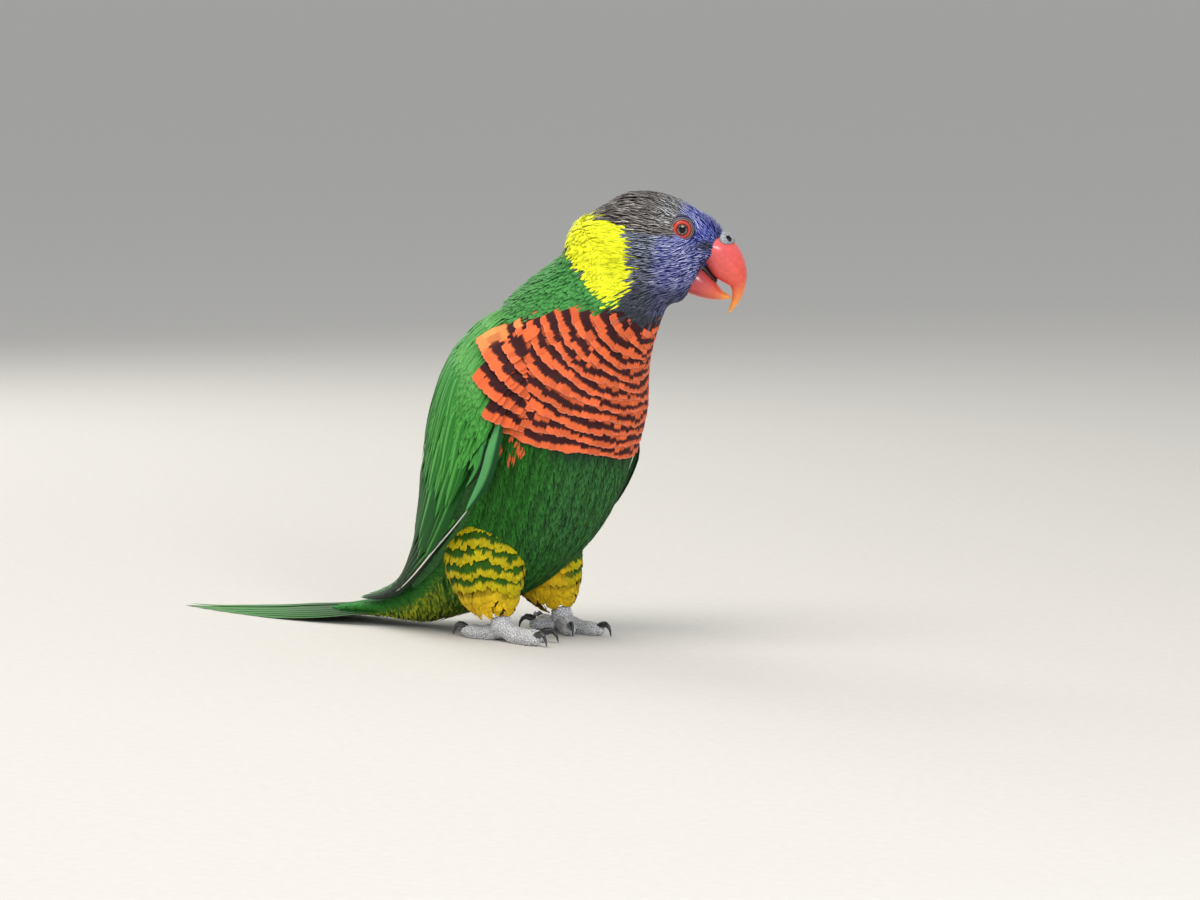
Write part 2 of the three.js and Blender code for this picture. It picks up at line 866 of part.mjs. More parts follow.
const paint = {
  belly: "#1f6b2c",
  wing: "#2c8f3f",
  tail: "#2c7f35",
  collar: "#d9e62a",
  face: "#3a3f8f",
  bill: "#e4503f",
  cere: "#4a4a52",
  eye: "#c8321e",
  thigh: "#c9b51c",
  leg: "#a9a9ac",
  claw: "#3c3a3e",
};
const finish = (color, roughness = 0.8) =>
  new THREE.MeshStandardMaterial({ color, roughness, metalness: 0 });

const bird = new THREE.Group();

function addPiece(name, solid, material) {
  const mesh = solid.getMesh();
  const geometry = new THREE.BufferGeometry();
  geometry.setAttribute(
    "position",
    new THREE.BufferAttribute(new Float32Array(mesh.vertProperties), 3),
  );
  geometry.setIndex(new THREE.BufferAttribute(mesh.triVerts, 1));
  const piece = new THREE.Mesh(geometry, material);
  piece.name = name;
  piece.position.set(-ORIGIN[0], -ORIGIN[1], 0);
  bird.add(piece);
}

// Flesh in one, then parted
const CUT_WIDTH = 130;
function thinCut(distance) {
  const { at, along } = spineFrame(distance);
  return orientedBox(at, along, CUT_WIDTH, GAP);
}

const upperBill = billHalf(UPPER_BILL, 0);
const lowerBill = billHalf(LOWER_BILL, 0);
const grownHead = headForm(GAP);
const grownTrunk = trunk(GAP);

const sides = [
  ["right", -1],
  ["left", 1],
];
let flesh = trunk(0).add(headForm(0));
for (const [, side] of sides) flesh = flesh.add(lidRing(side));
for (const [, side] of sides) {
  flesh = flesh.subtract(eyeBall(side, EYE_RADIUS + GAP));
}
for (const cut of [TAIL_CUT, NECK_CUT, HEAD_CUT]) {
  flesh = flesh.subtract(thinCut(cut));
}
const heightOf = (solid) => {
  const box = solid.boundingBox();
  return box.min[2] + box.max[2];
};
const [tailRoot, torso, neck, head] = flesh
  .decompose()
  .sort((a, b) => b.volume() - a.volume())
  .slice(0, 4)
  .sort((a, b) => heightOf(a) - heightOf(b));

addPiece("torso", torso, finish(paint.belly));
addPiece("neck", neck, finish(paint.collar));
addPiece("head", head, finish(paint.face));
const tail = largest(join([tailRoot, ...tailFeathers()]).intersect(ABOVE_FLOOR));
addPiece("tail", tail, finish(paint.tail));
addPiece(
  "bill_upper",
  largest(upperBill.subtract(grownHead)),
  finish(paint.bill, 0.35),
);
addPiece(
  "bill_lower",
  largest(lowerBill.subtract(grownHead)),
  finish(paint.bill, 0.35),
);
addPiece(
  "cere",
  largest(
    cere().subtract(grownHead).subtract(billHalf(UPPER_BILL, GAP)),
  ),
  finish(paint.cere, 0.6),
);

const leftThigh = largest(thigh(0).subtract(grownTrunk));
const grownThigh = thigh(GAP);
const wing = (spread) =>
  largest(
    join([wingCore(spread), ...wingFeathers(spread)])
      .intersect(LEFT_HALF)
      .subtract(grownTrunk)
      .subtract(grownThigh),
  );
for (const [name, side] of sides) {
  const placed = (solid) => (side > 0 ? solid : mirrored(solid));
  addPiece(
    `eye_${name}`,
    eyeBall(side, EYE_RADIUS),
    finish(paint.eye, 0.15),
  );
  addPiece(`wing_${name}`, placed(wing(WING_SPREAD[name])), finish(paint.wing));
  addPiece(`thigh_${name}`, placed(leftThigh), finish(paint.thigh));
  const footTurn = side * FOOT_TURN[name];
  const madeFoot = foot(footTurn).subtract(grownThigh).subtract(grownTrunk);
  const grownFoot = foot(footTurn, GAP);
  addPiece(`foot_${name}`, placed(largest(madeFoot)), finish(paint.leg));
  for (const toe of TOES) {
    addPiece(
      `claw_${name}_${toe.name}`,
      placed(largest(claw(toe, footTurn).subtract(grownFoot))),
      finish(paint.claw, 0.4),
    );
  }
}

export default bird;
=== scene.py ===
# %% [markdown]
# # A rainbow lorikeet, standing still
# The solids of this bird are packed already: torso, neck, head, wings, tail, bill, eyes, legs and claws.
# Here they get their looks. One smooth skin takes the place of the flesh, thousands of small feathers
# are laid on it row by row, and the wings and the tail are built vane by vane. Everything small is
# worked out in millimetres in the bird's own frame: x forward, y to its left, z up, with the origin on
# the floor between the feet. Only when a mesh is made are its points turned into metres.

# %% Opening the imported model
import math

import bmesh
import bpy
import numpy as np
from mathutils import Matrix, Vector
from mathutils.bvhtree import BVHTree
from mathutils.kdtree import KDTree


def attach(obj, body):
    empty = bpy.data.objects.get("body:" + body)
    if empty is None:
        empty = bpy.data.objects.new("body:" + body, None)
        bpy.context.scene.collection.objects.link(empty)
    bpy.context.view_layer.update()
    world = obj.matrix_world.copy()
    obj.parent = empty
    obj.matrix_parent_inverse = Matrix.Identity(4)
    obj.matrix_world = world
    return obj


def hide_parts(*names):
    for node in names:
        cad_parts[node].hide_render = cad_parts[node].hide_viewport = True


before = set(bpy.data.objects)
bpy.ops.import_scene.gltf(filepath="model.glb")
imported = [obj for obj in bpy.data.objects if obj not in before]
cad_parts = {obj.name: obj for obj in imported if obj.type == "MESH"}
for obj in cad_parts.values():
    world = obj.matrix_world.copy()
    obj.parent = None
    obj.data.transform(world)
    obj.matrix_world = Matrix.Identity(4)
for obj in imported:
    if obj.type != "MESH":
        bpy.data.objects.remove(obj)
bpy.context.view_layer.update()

print("nodes:", ", ".join(sorted(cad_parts)))

# %% [markdown]
# ## Units and small helpers
# Blender works in metres and the bird is easier to think of in millimetres, so two functions carry
# points across. A named sRGB colour has to become linear before a shader reads it, and one function
# does that for every colour in the file. Another adds a shader node together with its settings and its
# links, and four more make what every finish here needs: a material, fine mottling, a mix of two colours
# and bump. Each material below then reads as a short list.

# %% Units, colours and nodes
MM = 0.001
BIRD_AT = np.array([39.8, 0.0, 0.0])  # where the bird frame's origin lies in the scene, in mm


def to_scene(points):
    return (np.asarray(points, float) + BIRD_AT) * MM


def to_bird(points):
    return np.asarray(points, float) / MM - BIRD_AT


def linear(colour):
    """A hex colour as linear red, green and blue."""
    values = np.array([int(colour[i : i + 2], 16) for i in (1, 3, 5)]) / 255
    return np.where(values <= 0.04045, values / 12.92, ((values + 0.055) / 1.055) ** 2.4)


def rgba(colour):
    return (*linear(colour), 1.0)


def add_node(tree, kind, inputs=None, **settings):
    """A node with its settings, and its inputs set to values or linked to other nodes' outputs."""
    node = tree.nodes.new(kind)
    for name, value in settings.items():
        setattr(node, name, value)
    for name, value in (inputs or {}).items():
        if isinstance(value, bpy.types.NodeSocket):
            tree.links.new(value, node.inputs[name])
        else:
            node.inputs[name].default_value = value
    return node


def new_material(name):
    """A material with its node tree and its shader."""
    material = bpy.data.materials.new(name)
    material.use_nodes = True
    return material, material.node_tree, material.node_tree.nodes["Principled BSDF"]


def mottling(tree, scale, detail):
    """Fine noise in the object's own space, from 0 to 1."""
    place = add_node(tree, "ShaderNodeTexCoord").outputs["Object"]
    inputs = {"Vector": place, "Scale": scale, "Detail": detail}
    return add_node(tree, "ShaderNodeTexNoise", inputs).outputs[0]


def mix_of(tree, kind, share, first, second):
    """Two colours mixed or multiplied, each a colour or another node's output."""
    inputs = {0: share, 6: first, 7: second}
    node = add_node(tree, "ShaderNodeMix", inputs, data_type="RGBA", blend_type=kind)
    return node.outputs[2]


def add_relief(tree, shader, height, strength, depth):
    """Bump of this depth in mm, under the shader."""
    inputs = {"Height": height, "Strength": strength, "Distance": depth * MM}
    tree.links.new(add_node(tree, "ShaderNodeBump", inputs).outputs[0], shader.inputs["Normal"])


def smoothstep(x, low, high):
    t = np.clip((np.asarray(x, float) - low) / (high - low), 0, 1)
    return t * t * (3 - 2 * t)


def smooth(rows, at):
    """Values at places along rows of [place, value, value...], joined by smooth Hermite spans."""
    rows = np.array(rows, float)
    count = len(rows)
    x = np.clip(np.asarray(at, float), rows[0, 0], rows[-1, 0])
    before = np.maximum(np.arange(count) - 1, 0)
    after = np.minimum(np.arange(count) + 1, count - 1)
    slope = (rows[after, 1:] - rows[before, 1:]) / (rows[after, 0] - rows[before, 0])[:, None]
    i = np.clip(np.searchsorted(rows[:, 0], x, side="right") - 1, 0, count - 2)
    span = (rows[i + 1, 0] - rows[i, 0])[..., None]
    t = (x - rows[i, 0])[..., None] / span
    return (
        (2 * t**3 - 3 * t**2 + 1) * rows[i, 1:]
        + (t**3 - 2 * t**2 + t) * slope[i] * span
        + (3 * t**2 - 2 * t**3) * rows[i + 1, 1:]
        + (t**3 - t**2) * slope[i + 1] * span
    )


def unit(vectors):
    return vectors / np.maximum(np.linalg.norm(vectors, axis=-1, keepdims=True), 1e-9)


# %% [markdown]
# ## Camera, floor and light
# The photograph looks at the bird from its right front, 36 degrees off a plain front view and a little
# from above, with a long lens. Three fixed facts place the camera: the pixel of the floor point between
# the feet, how many pixels a millimetre takes there, and the distance. The floor is a wide pale disc.
# The light comes from three round panels, overhead, in front and behind, and from a pale sky all round,
# as daylight under a thin cloud would.

# %% Camera
PHOTO_WIDTH = 1200
PHOTO_HEIGHT = 900
FEET_PIXEL = (534, 636)
PIXELS_PER_MM = 3.07
CAMERA_AZIMUTH = 36
CAMERA_ELEVATION = 5
CAMERA_DISTANCE = 1.8
SENSOR_WIDTH = 36

azimuth = math.radians(CAMERA_AZIMUTH)
elevation = math.radians(CAMERA_ELEVATION)
towards_camera = Vector(
    (
        math.sin(azimuth) * math.cos(elevation),
        -math.cos(azimuth) * math.cos(elevation),
        math.sin(elevation),
    )
)
camera_right = Vector((math.cos(azimuth), math.sin(azimuth), 0))
camera_up = towards_camera.cross(camera_right)
aim = (
    Vector(to_scene((0, 0, 0)))
    + camera_right * (PHOTO_WIDTH / 2 - FEET_PIXEL[0]) / PIXELS_PER_MM * MM
    + camera_up * (FEET_PIXEL[1] - PHOTO_HEIGHT / 2) / PIXELS_PER_MM * MM
)
camera_data = bpy.data.cameras.new("camera")
camera_data.sensor_width = SENSOR_WIDTH
camera_data.lens = SENSOR_WIDTH * CAMERA_DISTANCE / (PHOTO_WIDTH / PIXELS_PER_MM * MM)
camera_data.clip_start = 0.05
camera_data.clip_end = 200
camera = bpy.data.objects.new("camera", camera_data)
camera.location = aim + towards_camera * CAMERA_DISTANCE
camera.rotation_mode = "QUATERNION"
camera.rotation_quaternion = (-towards_camera).to_track_quat("-Z", "Y")
bpy.context.scene.collection.objects.link(camera)
bpy.context.scene.camera = camera
print(f"lens {camera_data.lens:.1f} mm at {CAMERA_DISTANCE} m")

# %% Floor
FLOOR_RADIUS = 60
floor_mesh = bmesh.new()
bmesh.ops.create_circle(floor_mesh, cap_ends=True, radius=FLOOR_RADIUS, segments=64)
floor_data = bpy.data.meshes.new("floor")
floor_mesh.to_mesh(floor_data)
floor_mesh.free()
floor = bpy.data.objects.new("floor", floor_data)
bpy.context.scene.collection.objects.link(floor)

# painted board: a matt pale coat that hardly shines, so that only the bird's shadow lies on it
BOARD_GRAIN = 300.0  # waves per metre
board, board_tree, board_shader = new_material("matt painted board")
board_shader.inputs["Roughness"].default_value = 0.85
board_grain = mottling(board_tree, BOARD_GRAIN, 3.0)
board_tint = mix_of(board_tree, "MIX", board_grain, rgba("#cbc8c2"), rgba("#d6d3cd"))
board_tree.links.new(board_tint, board_shader.inputs["Base Color"])
floor_data.materials.append(board)

# %% Light
world = bpy.data.worlds.new("studio")
bpy.context.scene.world = world
world.use_nodes = True
world.node_tree.nodes["Background"].inputs["Color"].default_value = rgba("#e9ecf0")
world.node_tree.nodes["Background"].inputs["Strength"].default_value = 0.65


def soft_panel(name, at, size, power, colour):
    """A round light at a place given as metres to the camera's right, towards it, and up."""
    data = bpy.data.lights.new(name, "AREA")
    data.shape = "DISK"
    data.size = size
    data.energy = power
    data.color = tuple(linear(colour))
    panel = bpy.data.objects.new(name, data)
    level = Vector((towards_camera.x, towards_camera.y, 0)).normalized()
    middle = Vector(to_scene((0, 0, 80)))
    panel.location = middle + camera_right * at[0] + level * at[1] + Vector((0, 0, at[2]))
    panel.rotation_mode = "QUATERNION"
    panel.rotation_quaternion = (middle - panel.location).to_track_quat("-Z", "Y")
    bpy.context.scene.collection.objects.link(panel)


soft_panel("overhead panel", (-0.25, 0.35, 1.0), 0.9, 9, "#fff8ee")
soft_panel("front panel", (0.45, 1.3, 0.5), 0.42, 8, "#f4f7ff")
soft_panel("back panel", (-0.5, -0.9, 0.6), 0.7, 5, "#fffdf5")
bpy.context.scene.view_settings.view_transform = "Standard"

# %% [markdown]
# ## The bird's measures
# The coat, the wings and the skin all follow the same spine as the solids do, so its points and the
# sections along it are repeated here. A place on the trunk is a distance along the spine and an angle
# round it, 0 at the back, 90 at the left flank and 180 at the belly. The head has a frame of its own,
# turned to the bird's left.

# %% Spine and sections
SPINE_POINTS = np.array(
    [
        [-100, 0, 2.4],
        [-72, 0, 4.6],
        [-46, 0, 9],
        [-32, 0, 17],
        [-17, 0, 32],
        [-5, 0, 52],
        [4, 0, 74],
        [13, 0, 93],
        [25, 1, 108],
        [39, 5, 122],
    ],
    float,
)
TAIL_ROOT_POINT = 2
SPINE_STEPS = 200
TRUNK_SECTIONS = [
    # distance: depth to the back, depth to the belly, half width
    [-38, 0.6, 1, 6.5],
    [-30, 1.8, 1.9, 9],
    [-16, 3, 3.6, 10.5],
    [0, 6, 8.2, 12],
    [16, 12, 14, 17],
    [37, 20, 25, 23],
    [60, 26, 33.5, 28],
    [84, 28, 34, 31],
    [105, 26, 31, 29],
    [124, 21, 22.5, 22],
    [138, 17.5, 17, 17.5],
    [145, 15, 14, 15.5],
]
HEAD_CENTRE = np.array([40.6, 5.2, 126.6])
HEAD_TURN = math.radians(31)
HEAD_DIP = math.radians(8)
NECK_TURN = (100, 150)  # distances between which the neck turns into the head's heading

head_forward = np.array(
    [
        math.cos(HEAD_DIP) * math.cos(HEAD_TURN),
        math.cos(HEAD_DIP) * math.sin(HEAD_TURN),
        -math.sin(HEAD_DIP),
    ]
)
head_left = np.array([-math.sin(HEAD_TURN), math.cos(HEAD_TURN), 0])
head_up = np.cross(head_forward, head_left)


def head_point(forward, left, up):
    return HEAD_CENTRE + forward * head_forward + left * head_left + up * head_up


def spine_line():
    """A centripetal curve through the spine's points, with the distance from the tail's root."""
    ends = [2 * SPINE_POINTS[0] - SPINE_POINTS[1], 2 * SPINE_POINTS[-1] - SPINE_POINTS[-2]]
    points = np.vstack([ends[0], SPINE_POINTS, ends[1]])
    spans = []
    for a, b, c, d in zip(points, points[1:], points[2:], points[3:]):
        ta = 0
        tb = ta + np.linalg.norm(b - a) ** 0.5
        tc = tb + np.linalg.norm(c - b) ** 0.5
        td = tc + np.linalg.norm(d - c) ** 0.5
        t = np.linspace(tb, tc, SPINE_STEPS, endpoint=False)[:, None]
        ab = (tb - t) / (tb - ta) * a + (t - ta) / (tb - ta) * b
        bc = (tc - t) / (tc - tb) * b + (t - tb) / (tc - tb) * c
        cd = (td - t) / (td - tc) * c + (t - tc) / (td - tc) * d
        abc = (tc - t) / (tc - ta) * ab + (t - ta) / (tc - ta) * bc
        bcd = (td - t) / (td - tb) * bc + (t - tb) / (td - tb) * cd
        spans.append((tc - t) / (tc - tb) * abc + (t - tb) / (tc - tb) * bcd)
    line = np.vstack([*spans, SPINE_POINTS[-1:]])
    length = np.r_[0, np.cumsum(np.linalg.norm(np.diff(line, axis=0), axis=1))]
    return line, length - length[TAIL_ROOT_POINT * SPINE_STEPS]


spine, spine_distance = spine_line()
spine_along = unit(np.gradient(spine, spine_distance, axis=0))


def spine_frame(distance):
    """Points on the spine with the directions along it, to the back and to the left."""
    distance = np.asarray(distance, float)
    pick = lambda values: np.stack(
        [np.interp(distance, spine_distance, values[:, k]) for k in range(3)], -1
    )
    at, along = pick(spine), unit(pick(spine_along))
    turn = HEAD_TURN * smoothstep(distance, *NECK_TURN)
    side = np.stack([-np.sin(turn), np.cos(turn), 0 * turn], -1)
    back = unit(np.cross(along, side))
    return at, along, back, np.cross(back, along)


def section_point(distance, angle, to_back, to_belly, half_width):
    at, along, back, left = spine_frame(distance)
    c, s = np.cos(np.radians(angle)), np.sin(np.radians(angle))
    depth = c * np.where(c > 0, to_back, to_belly)
    return at + back * depth[..., None] + left * (s * half_width)[..., None]


def trunk_point(distance, angle, grow=0):
    section = smooth(TRUNK_SECTIONS, distance)
    return section_point(distance, angle, *(section[..., k] + grow for k in range(3)))


print(f"spine from {spine_distance[0]:.0f} to {spine_distance[-1]:.0f} mm")

# %% [markdown]
# ## Meshes from other meshes
# Three things are done again and again: copying solids into one mesh with its doubles merged, applying
# the modifiers of an object, and handing a finished piece to its body. A voxel remesh melts solids that
# touch into one even surface, which is how a faceted model becomes flesh.

# %% Copying, applying and finishing
def new_object(name, bm):
    data = bpy.data.meshes.new(name)
    bm.to_mesh(data)
    bm.free()
    made = bpy.data.objects.new(name, data)
    bpy.context.scene.collection.objects.link(made)
    return made


def shade_smooth(made):
    made.data.polygons.foreach_set("use_smooth", np.ones(len(made.data.polygons), bool))


def copy_of(*names):
    """The meshes of these nodes in one, with their doubles merged."""
    bm = bmesh.new()
    for name in names:
        bm.from_mesh(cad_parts[name].data)
    bmesh.ops.remove_doubles(bm, verts=bm.verts, dist=1e-6)
    return bm


def apply_modifiers(made):
    evaluated = made.evaluated_get(bpy.context.evaluated_depsgraph_get())
    data = bpy.data.meshes.new_from_object(evaluated)
    made.modifiers.clear()
    made.data = data


def melted(name, bm, voxel, rounds):
    """One even surface round everything in bm, with this voxel size in mm, smoothed some rounds."""
    made = new_object(name, bm)
    remesh = made.modifiers.new("melt", "REMESH")
    remesh.mode = "VOXEL"
    remesh.voxel_size = voxel * MM
    settle = made.modifiers.new("settle", "SMOOTH")
    settle.factor = 0.5
    settle.iterations = rounds
    apply_modifiers(made)
    shade_smooth(made)
    return made


def points_of(made):
    flat = np.zeros(3 * len(made.data.vertices))
    made.data.vertices.foreach_get("co", flat)
    return to_bird(flat.reshape(-1, 3))


def normals_of(made):
    flat = np.zeros(3 * len(made.data.vertices))
    made.data.vertex_normals.foreach_get("vector", flat)
    return flat.reshape(-1, 3)


def move_points(made, points):
    made.data.vertices.foreach_set("co", to_scene(points).ravel())
    made.data.update()


def colour_points(made, name, colours):
    """A colour for each vertex, under this name."""
    attribute = made.data.attributes.new(name, "FLOAT_COLOR", "POINT")
    attribute.data.foreach_set("color", np.c_[colours, np.ones(len(colours))].ravel())


def one_colour(made, name, colour):
    colour_points(made, name, np.tile(linear(colour), (len(made.data.vertices), 1)))


def value_points(made, name, values):
    attribute = made.data.attributes.new(name, "FLOAT", "POINT")
    attribute.data.foreach_set("value", np.asarray(values, float).ravel())


def finish_piece(made, material, nodes=()):
    made.data.materials.clear()
    made.data.materials.append(material)
    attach(made, "root")
    if nodes:
        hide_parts(*nodes)
    triangles = sum(len(face.vertices) - 2 for face in made.data.polygons)
    print(f"{made.name}: {triangles} triangles")


# %% [markdown]
# ## One skin
# On the real bird the skin runs without a break from the face to the tail and down the thighs. The
# torso, neck, head and thighs are copied, a short tail root is lofted after them, and all of it is
# melted together, so no cut between the nodes is left. The skin then moves inwards by the depth of the
# coat, which is thin on the face and thickest on the breast, so that the feathers come out to the true
# outline.

# %% Skin
FLESH = ("torso", "neck", "head", "thigh_left", "thigh_right")
SKIN_VOXEL = 0.9
SKIN_ROUNDS = 10
TAIL_ROOT_RINGS = np.linspace(-36, 6, 12)
RING_SIDES = 28
BILL_ROOT = head_point(22, 0, 2)
BROW = head_point(21, 0, 12)
CROWN_END = head_point(-19, 0, 12)  # where the crown's feathers lie flattest and deepest
FACE_COAT = 0.4  # mm that the skin lies under the solids on the face
BODY_COAT = 1.0  # what the body's deeper coat adds to that
CROWN_COAT = 1.7  # and the crown's end


def loft(bm, rings):
    """Rings of points, in mm, bridged one after another, with both ends closed."""
    loops = []
    for ring in rings:
        corners = [bm.verts.new(p) for p in to_scene(ring)]
        loops.append([bm.edges.new((a, b)) for a, b in zip(corners, corners[1:] + corners[:1])])
    for first, second in zip(loops, loops[1:]):
        bmesh.ops.bridge_loops(bm, edges=first + second)
    for end in (loops[0], loops[-1]):
        bmesh.ops.holes_fill(bm, edges=end, sides=0)
    bmesh.ops.recalc_face_normals(bm, faces=bm.faces)


def coat_depth(points):
    """How far the skin lies under the solids: least on the face, and thin where the tail begins."""
    from_bill = np.linalg.norm(points - BILL_ROOT, axis=1)
    body = FACE_COAT + BODY_COAT * smoothstep(from_bill, 12, 55)
    from_crown = np.linalg.norm(points - CROWN_END, axis=1)
    crown = CROWN_COAT * (1 - smoothstep(from_crown, 3, 14))
    return crown + body * (0.35 + 0.65 * smoothstep(points[:, 0], -48, -30))


FACE_EDGE = [
    # up in the head's frame: how far forward the feathers reach, where the bill begins
    [-14, 14.5],
    [-11.9, 15.6],
    [-5.5, 18],
    [-1.3, 19],
    [0.1, 20],
    [2.8, 22.2],
    [4.3, 23],
    [6, 22.6],
    [9, 23.6],
    [12, 25.5],
]


def between(rows, at):
    return smooth(rows, at)[..., 0]


def face_edge(up):
    """How far forward the feathers of the face reach, where the bill begins."""
    return between(FACE_EDGE, up)


def shaped(points, normals):
    """The solids' surface taken in by the coat's depth, and drawn into the bill ahead of the face."""
    points = points - normals * coat_depth(points)[:, None]
    offset = points - HEAD_CENTRE
    forward, left, up = offset @ head_forward, offset @ head_left, offset @ head_up
    ahead = smoothstep(forward - face_edge(up), -0.6, 0.8)
    left, up = left * (1 - 0.55 * ahead), up * (1 - 0.5 * ahead)
    return HEAD_CENTRE + np.stack([forward, left, up], 1) @ np.stack(
        [head_forward, head_left, head_up]
    )


flesh = copy_of(*FLESH)
around = np.linspace(0, 360, RING_SIDES, endpoint=False)
tail_root = bmesh.new()
loft(tail_root, [trunk_point(np.full(RING_SIDES, d), around) for d in TAIL_ROOT_RINGS])
tail_root_data = bpy.data.meshes.new("tail root")
tail_root.to_mesh(tail_root_data)
tail_root.free()
flesh.from_mesh(tail_root_data)
skin = melted("skin", flesh, SKIN_VOXEL, SKIN_ROUNDS)
move_points(skin, shaped(points_of(skin), normals_of(skin)))

bare = copy_of("torso", "neck", "head", "eye_left", "eye_right")
bare.from_mesh(tail_root_data)
trunk_skin = melted("trunk for the rows", bare, SKIN_VOXEL, SKIN_ROUNDS)
move_points(trunk_skin, shaped(points_of(trunk_skin), normals_of(trunk_skin)))


def tree_of(made):
    bm = bmesh.new()
    bm.from_mesh(made.data)
    tree = BVHTree.FromBMesh(bm)
    bm.free()
    return tree


trunk_tree = tree_of(trunk_skin)
bpy.data.objects.remove(trunk_skin)
print(f"skin: {len(skin.data.polygons)} faces")

# %% [markdown]
# ## Sheets to lay feathers on
# A coat is easiest to lay on a grid. Rays go out from inside the body and mark where they meet the
# skin, so a grid place such as row 40.5, column 12.2 is a point on it. The grid also knows a height
# that grows along the lie of the feathers: its level lines are the rows, and its slope is the way each
# feather points. On the breast that height is the distance from the throat, which gives the rings of
# barred feathers that the photograph shows.

# %% The sheet
def grid_steps(metric, on_along, on_across):
    """Grid steps whose products with the two grid directions are these."""
    e, f, g = metric
    area = np.maximum(e * g - f * f, 1e-9)
    return np.stack(
        [(g * on_along - f * on_across) / area, (e * on_across - f * on_along) / area], -1
    )


class Sheet:
    """A grid of points, in mm, with the rise along the lie of its feathers."""

    def __init__(self, points, rise, closed, outward=1):
        self.points, self.rise, self.closed = points, rise, closed
        along, across = self.slope(points)
        self.normal = unit(np.cross(along, across)) * outward
        rise_along, rise_across = self.slope(rise[..., None])
        self.metric = (
            (along * along).sum(-1),
            (along * across).sum(-1),
            (across * across).sum(-1),
        )
        flow = grid_steps(self.metric, rise_along[..., 0], rise_across[..., 0])
        flow_vector = along * flow[..., :1] + across * flow[..., 1:]
        flow_length = np.maximum(np.linalg.norm(flow_vector, axis=-1, keepdims=True), 1e-6)
        self.flow = flow / flow_length
        self.steepness = flow_length
        self.flow_vector = flow_vector / flow_length
        side = np.cross(self.normal, self.flow_vector)
        self.side = grid_steps(self.metric, (side * along).sum(-1), (side * across).sum(-1))

    def slope(self, values):
        along = np.gradient(values, axis=0)
        if self.closed:
            across = (np.roll(values, -1, axis=1) - np.roll(values, 1, axis=1)) / 2
        else:
            across = np.gradient(values, axis=1)
        return along, across

    def at(self, field, place):
        """A field's value at fractional places."""
        rows, columns = field.shape[:2]
        i = np.clip(place[..., 0], 0, rows - 1.001)
        j = place[..., 1] if self.closed else np.clip(place[..., 1], 0, columns - 1.001)
        low_i, low_j = np.floor(i).astype(int), np.floor(j).astype(int)
        part_i, part_j = (i - low_i)[..., None], (j - low_j)[..., None]
        next_j = (low_j + 1) % columns
        low_j = low_j % columns
        near = field[low_i, low_j] * (1 - part_j) + field[low_i, next_j] * part_j
        far = field[low_i + 1, low_j] * (1 - part_j) + field[low_i + 1, next_j] * part_j
        return near * (1 - part_i) + far * part_i


def evened(field, rounds, closed):
    """A grid's values with their small steps smoothed away."""
    for _ in range(rounds):
        if closed:
            field = (np.roll(field, 1, 1) + 2 * field + np.roll(field, -1, 1)) / 4
        field[1:-1] = (field[:-2] + 2 * field[1:-1] + field[2:]) / 4
    return field


def cast(tree, starts, directions, reach):
    """Where rays first leave the skin, with their lengths, in mm."""
    lengths = np.empty(starts.shape[:-1])
    for place in np.ndindex(*lengths.shape):
        start = Vector(to_scene(starts[place]))
        hit = tree.ray_cast(start, Vector(directions[place]), reach * MM)
        lengths[place] = reach if hit[0] is None else hit[3] / MM
    return starts + directions * lengths[..., None], lengths


# %% The trunk's sheet
TRUNK_ROWS = np.arange(-34, 143.5, 1.5)
TRUNK_COLUMNS = 120
THROAT = np.array([36, 3, 112])  # the middle of the rings of barred feathers
BACK_ORIGIN = 149  # the rise on the back is this less the distance along the spine


def ring_of(points):
    """How far down the breast points lie: a distance from the throat, flattened lower down."""
    offset = np.asarray(points) - THROAT
    low = smoothstep(-offset[..., 2], 0, 70)
    ahead, aside = (0.85 - 0.45 * low) * offset[..., 0], (1 - 0.35 * low) * offset[..., 1]
    return np.sqrt(ahead**2 + aside**2 + offset[..., 2] ** 2)


trunk_angle = np.linspace(0, 360, TRUNK_COLUMNS, endpoint=False)
grid_distance, grid_angle = np.meshgrid(TRUNK_ROWS, trunk_angle, indexing="ij")
grid_at, _, grid_back, grid_left = spine_frame(grid_distance)
outward = (
    grid_back * np.cos(np.radians(grid_angle))[..., None]
    + grid_left * np.sin(np.radians(grid_angle))[..., None]
)
trunk_grid, _ = cast(trunk_tree, grid_at, outward, 60)
trunk_grid = evened(trunk_grid, 3, True)
front = smoothstep(0.5 - 0.5 * np.cos(np.radians(grid_angle)), 0.25, 0.6)
trunk_rise = (1 - front) * (BACK_ORIGIN - grid_distance) + front * ring_of(trunk_grid)
trunk_sheet = Sheet(trunk_grid, trunk_rise, True)
print("trunk sheet:", trunk_grid.shape[:2], "places")

# %% The head's sheet
HEAD_ROWS = np.radians(np.arange(12, 160, 2.0))
HEAD_COLUMNS = 120
HEAD_REACH = 27
BILL_MIDDLE = head_point(24, 0, 2.5)  # the head's feathers lie away from this point
EYE_AT = np.array([10.9, 10.1, 9.2])  # forward, sideways and up from the head's middle
EYE_RADIUS = 4.7
GAZE_FORWARD = math.radians(12)
EYE_PART = 4.6  # how strongly the feathers part round the eye
EYE_PART_WIDTH = 4.5


def eye_middle(side):
    return head_point(EYE_AT[0], side * EYE_AT[1], EYE_AT[2])


def eye_gaze(side):
    return head_left * side * math.cos(GAZE_FORWARD) + head_forward * math.sin(GAZE_FORWARD)


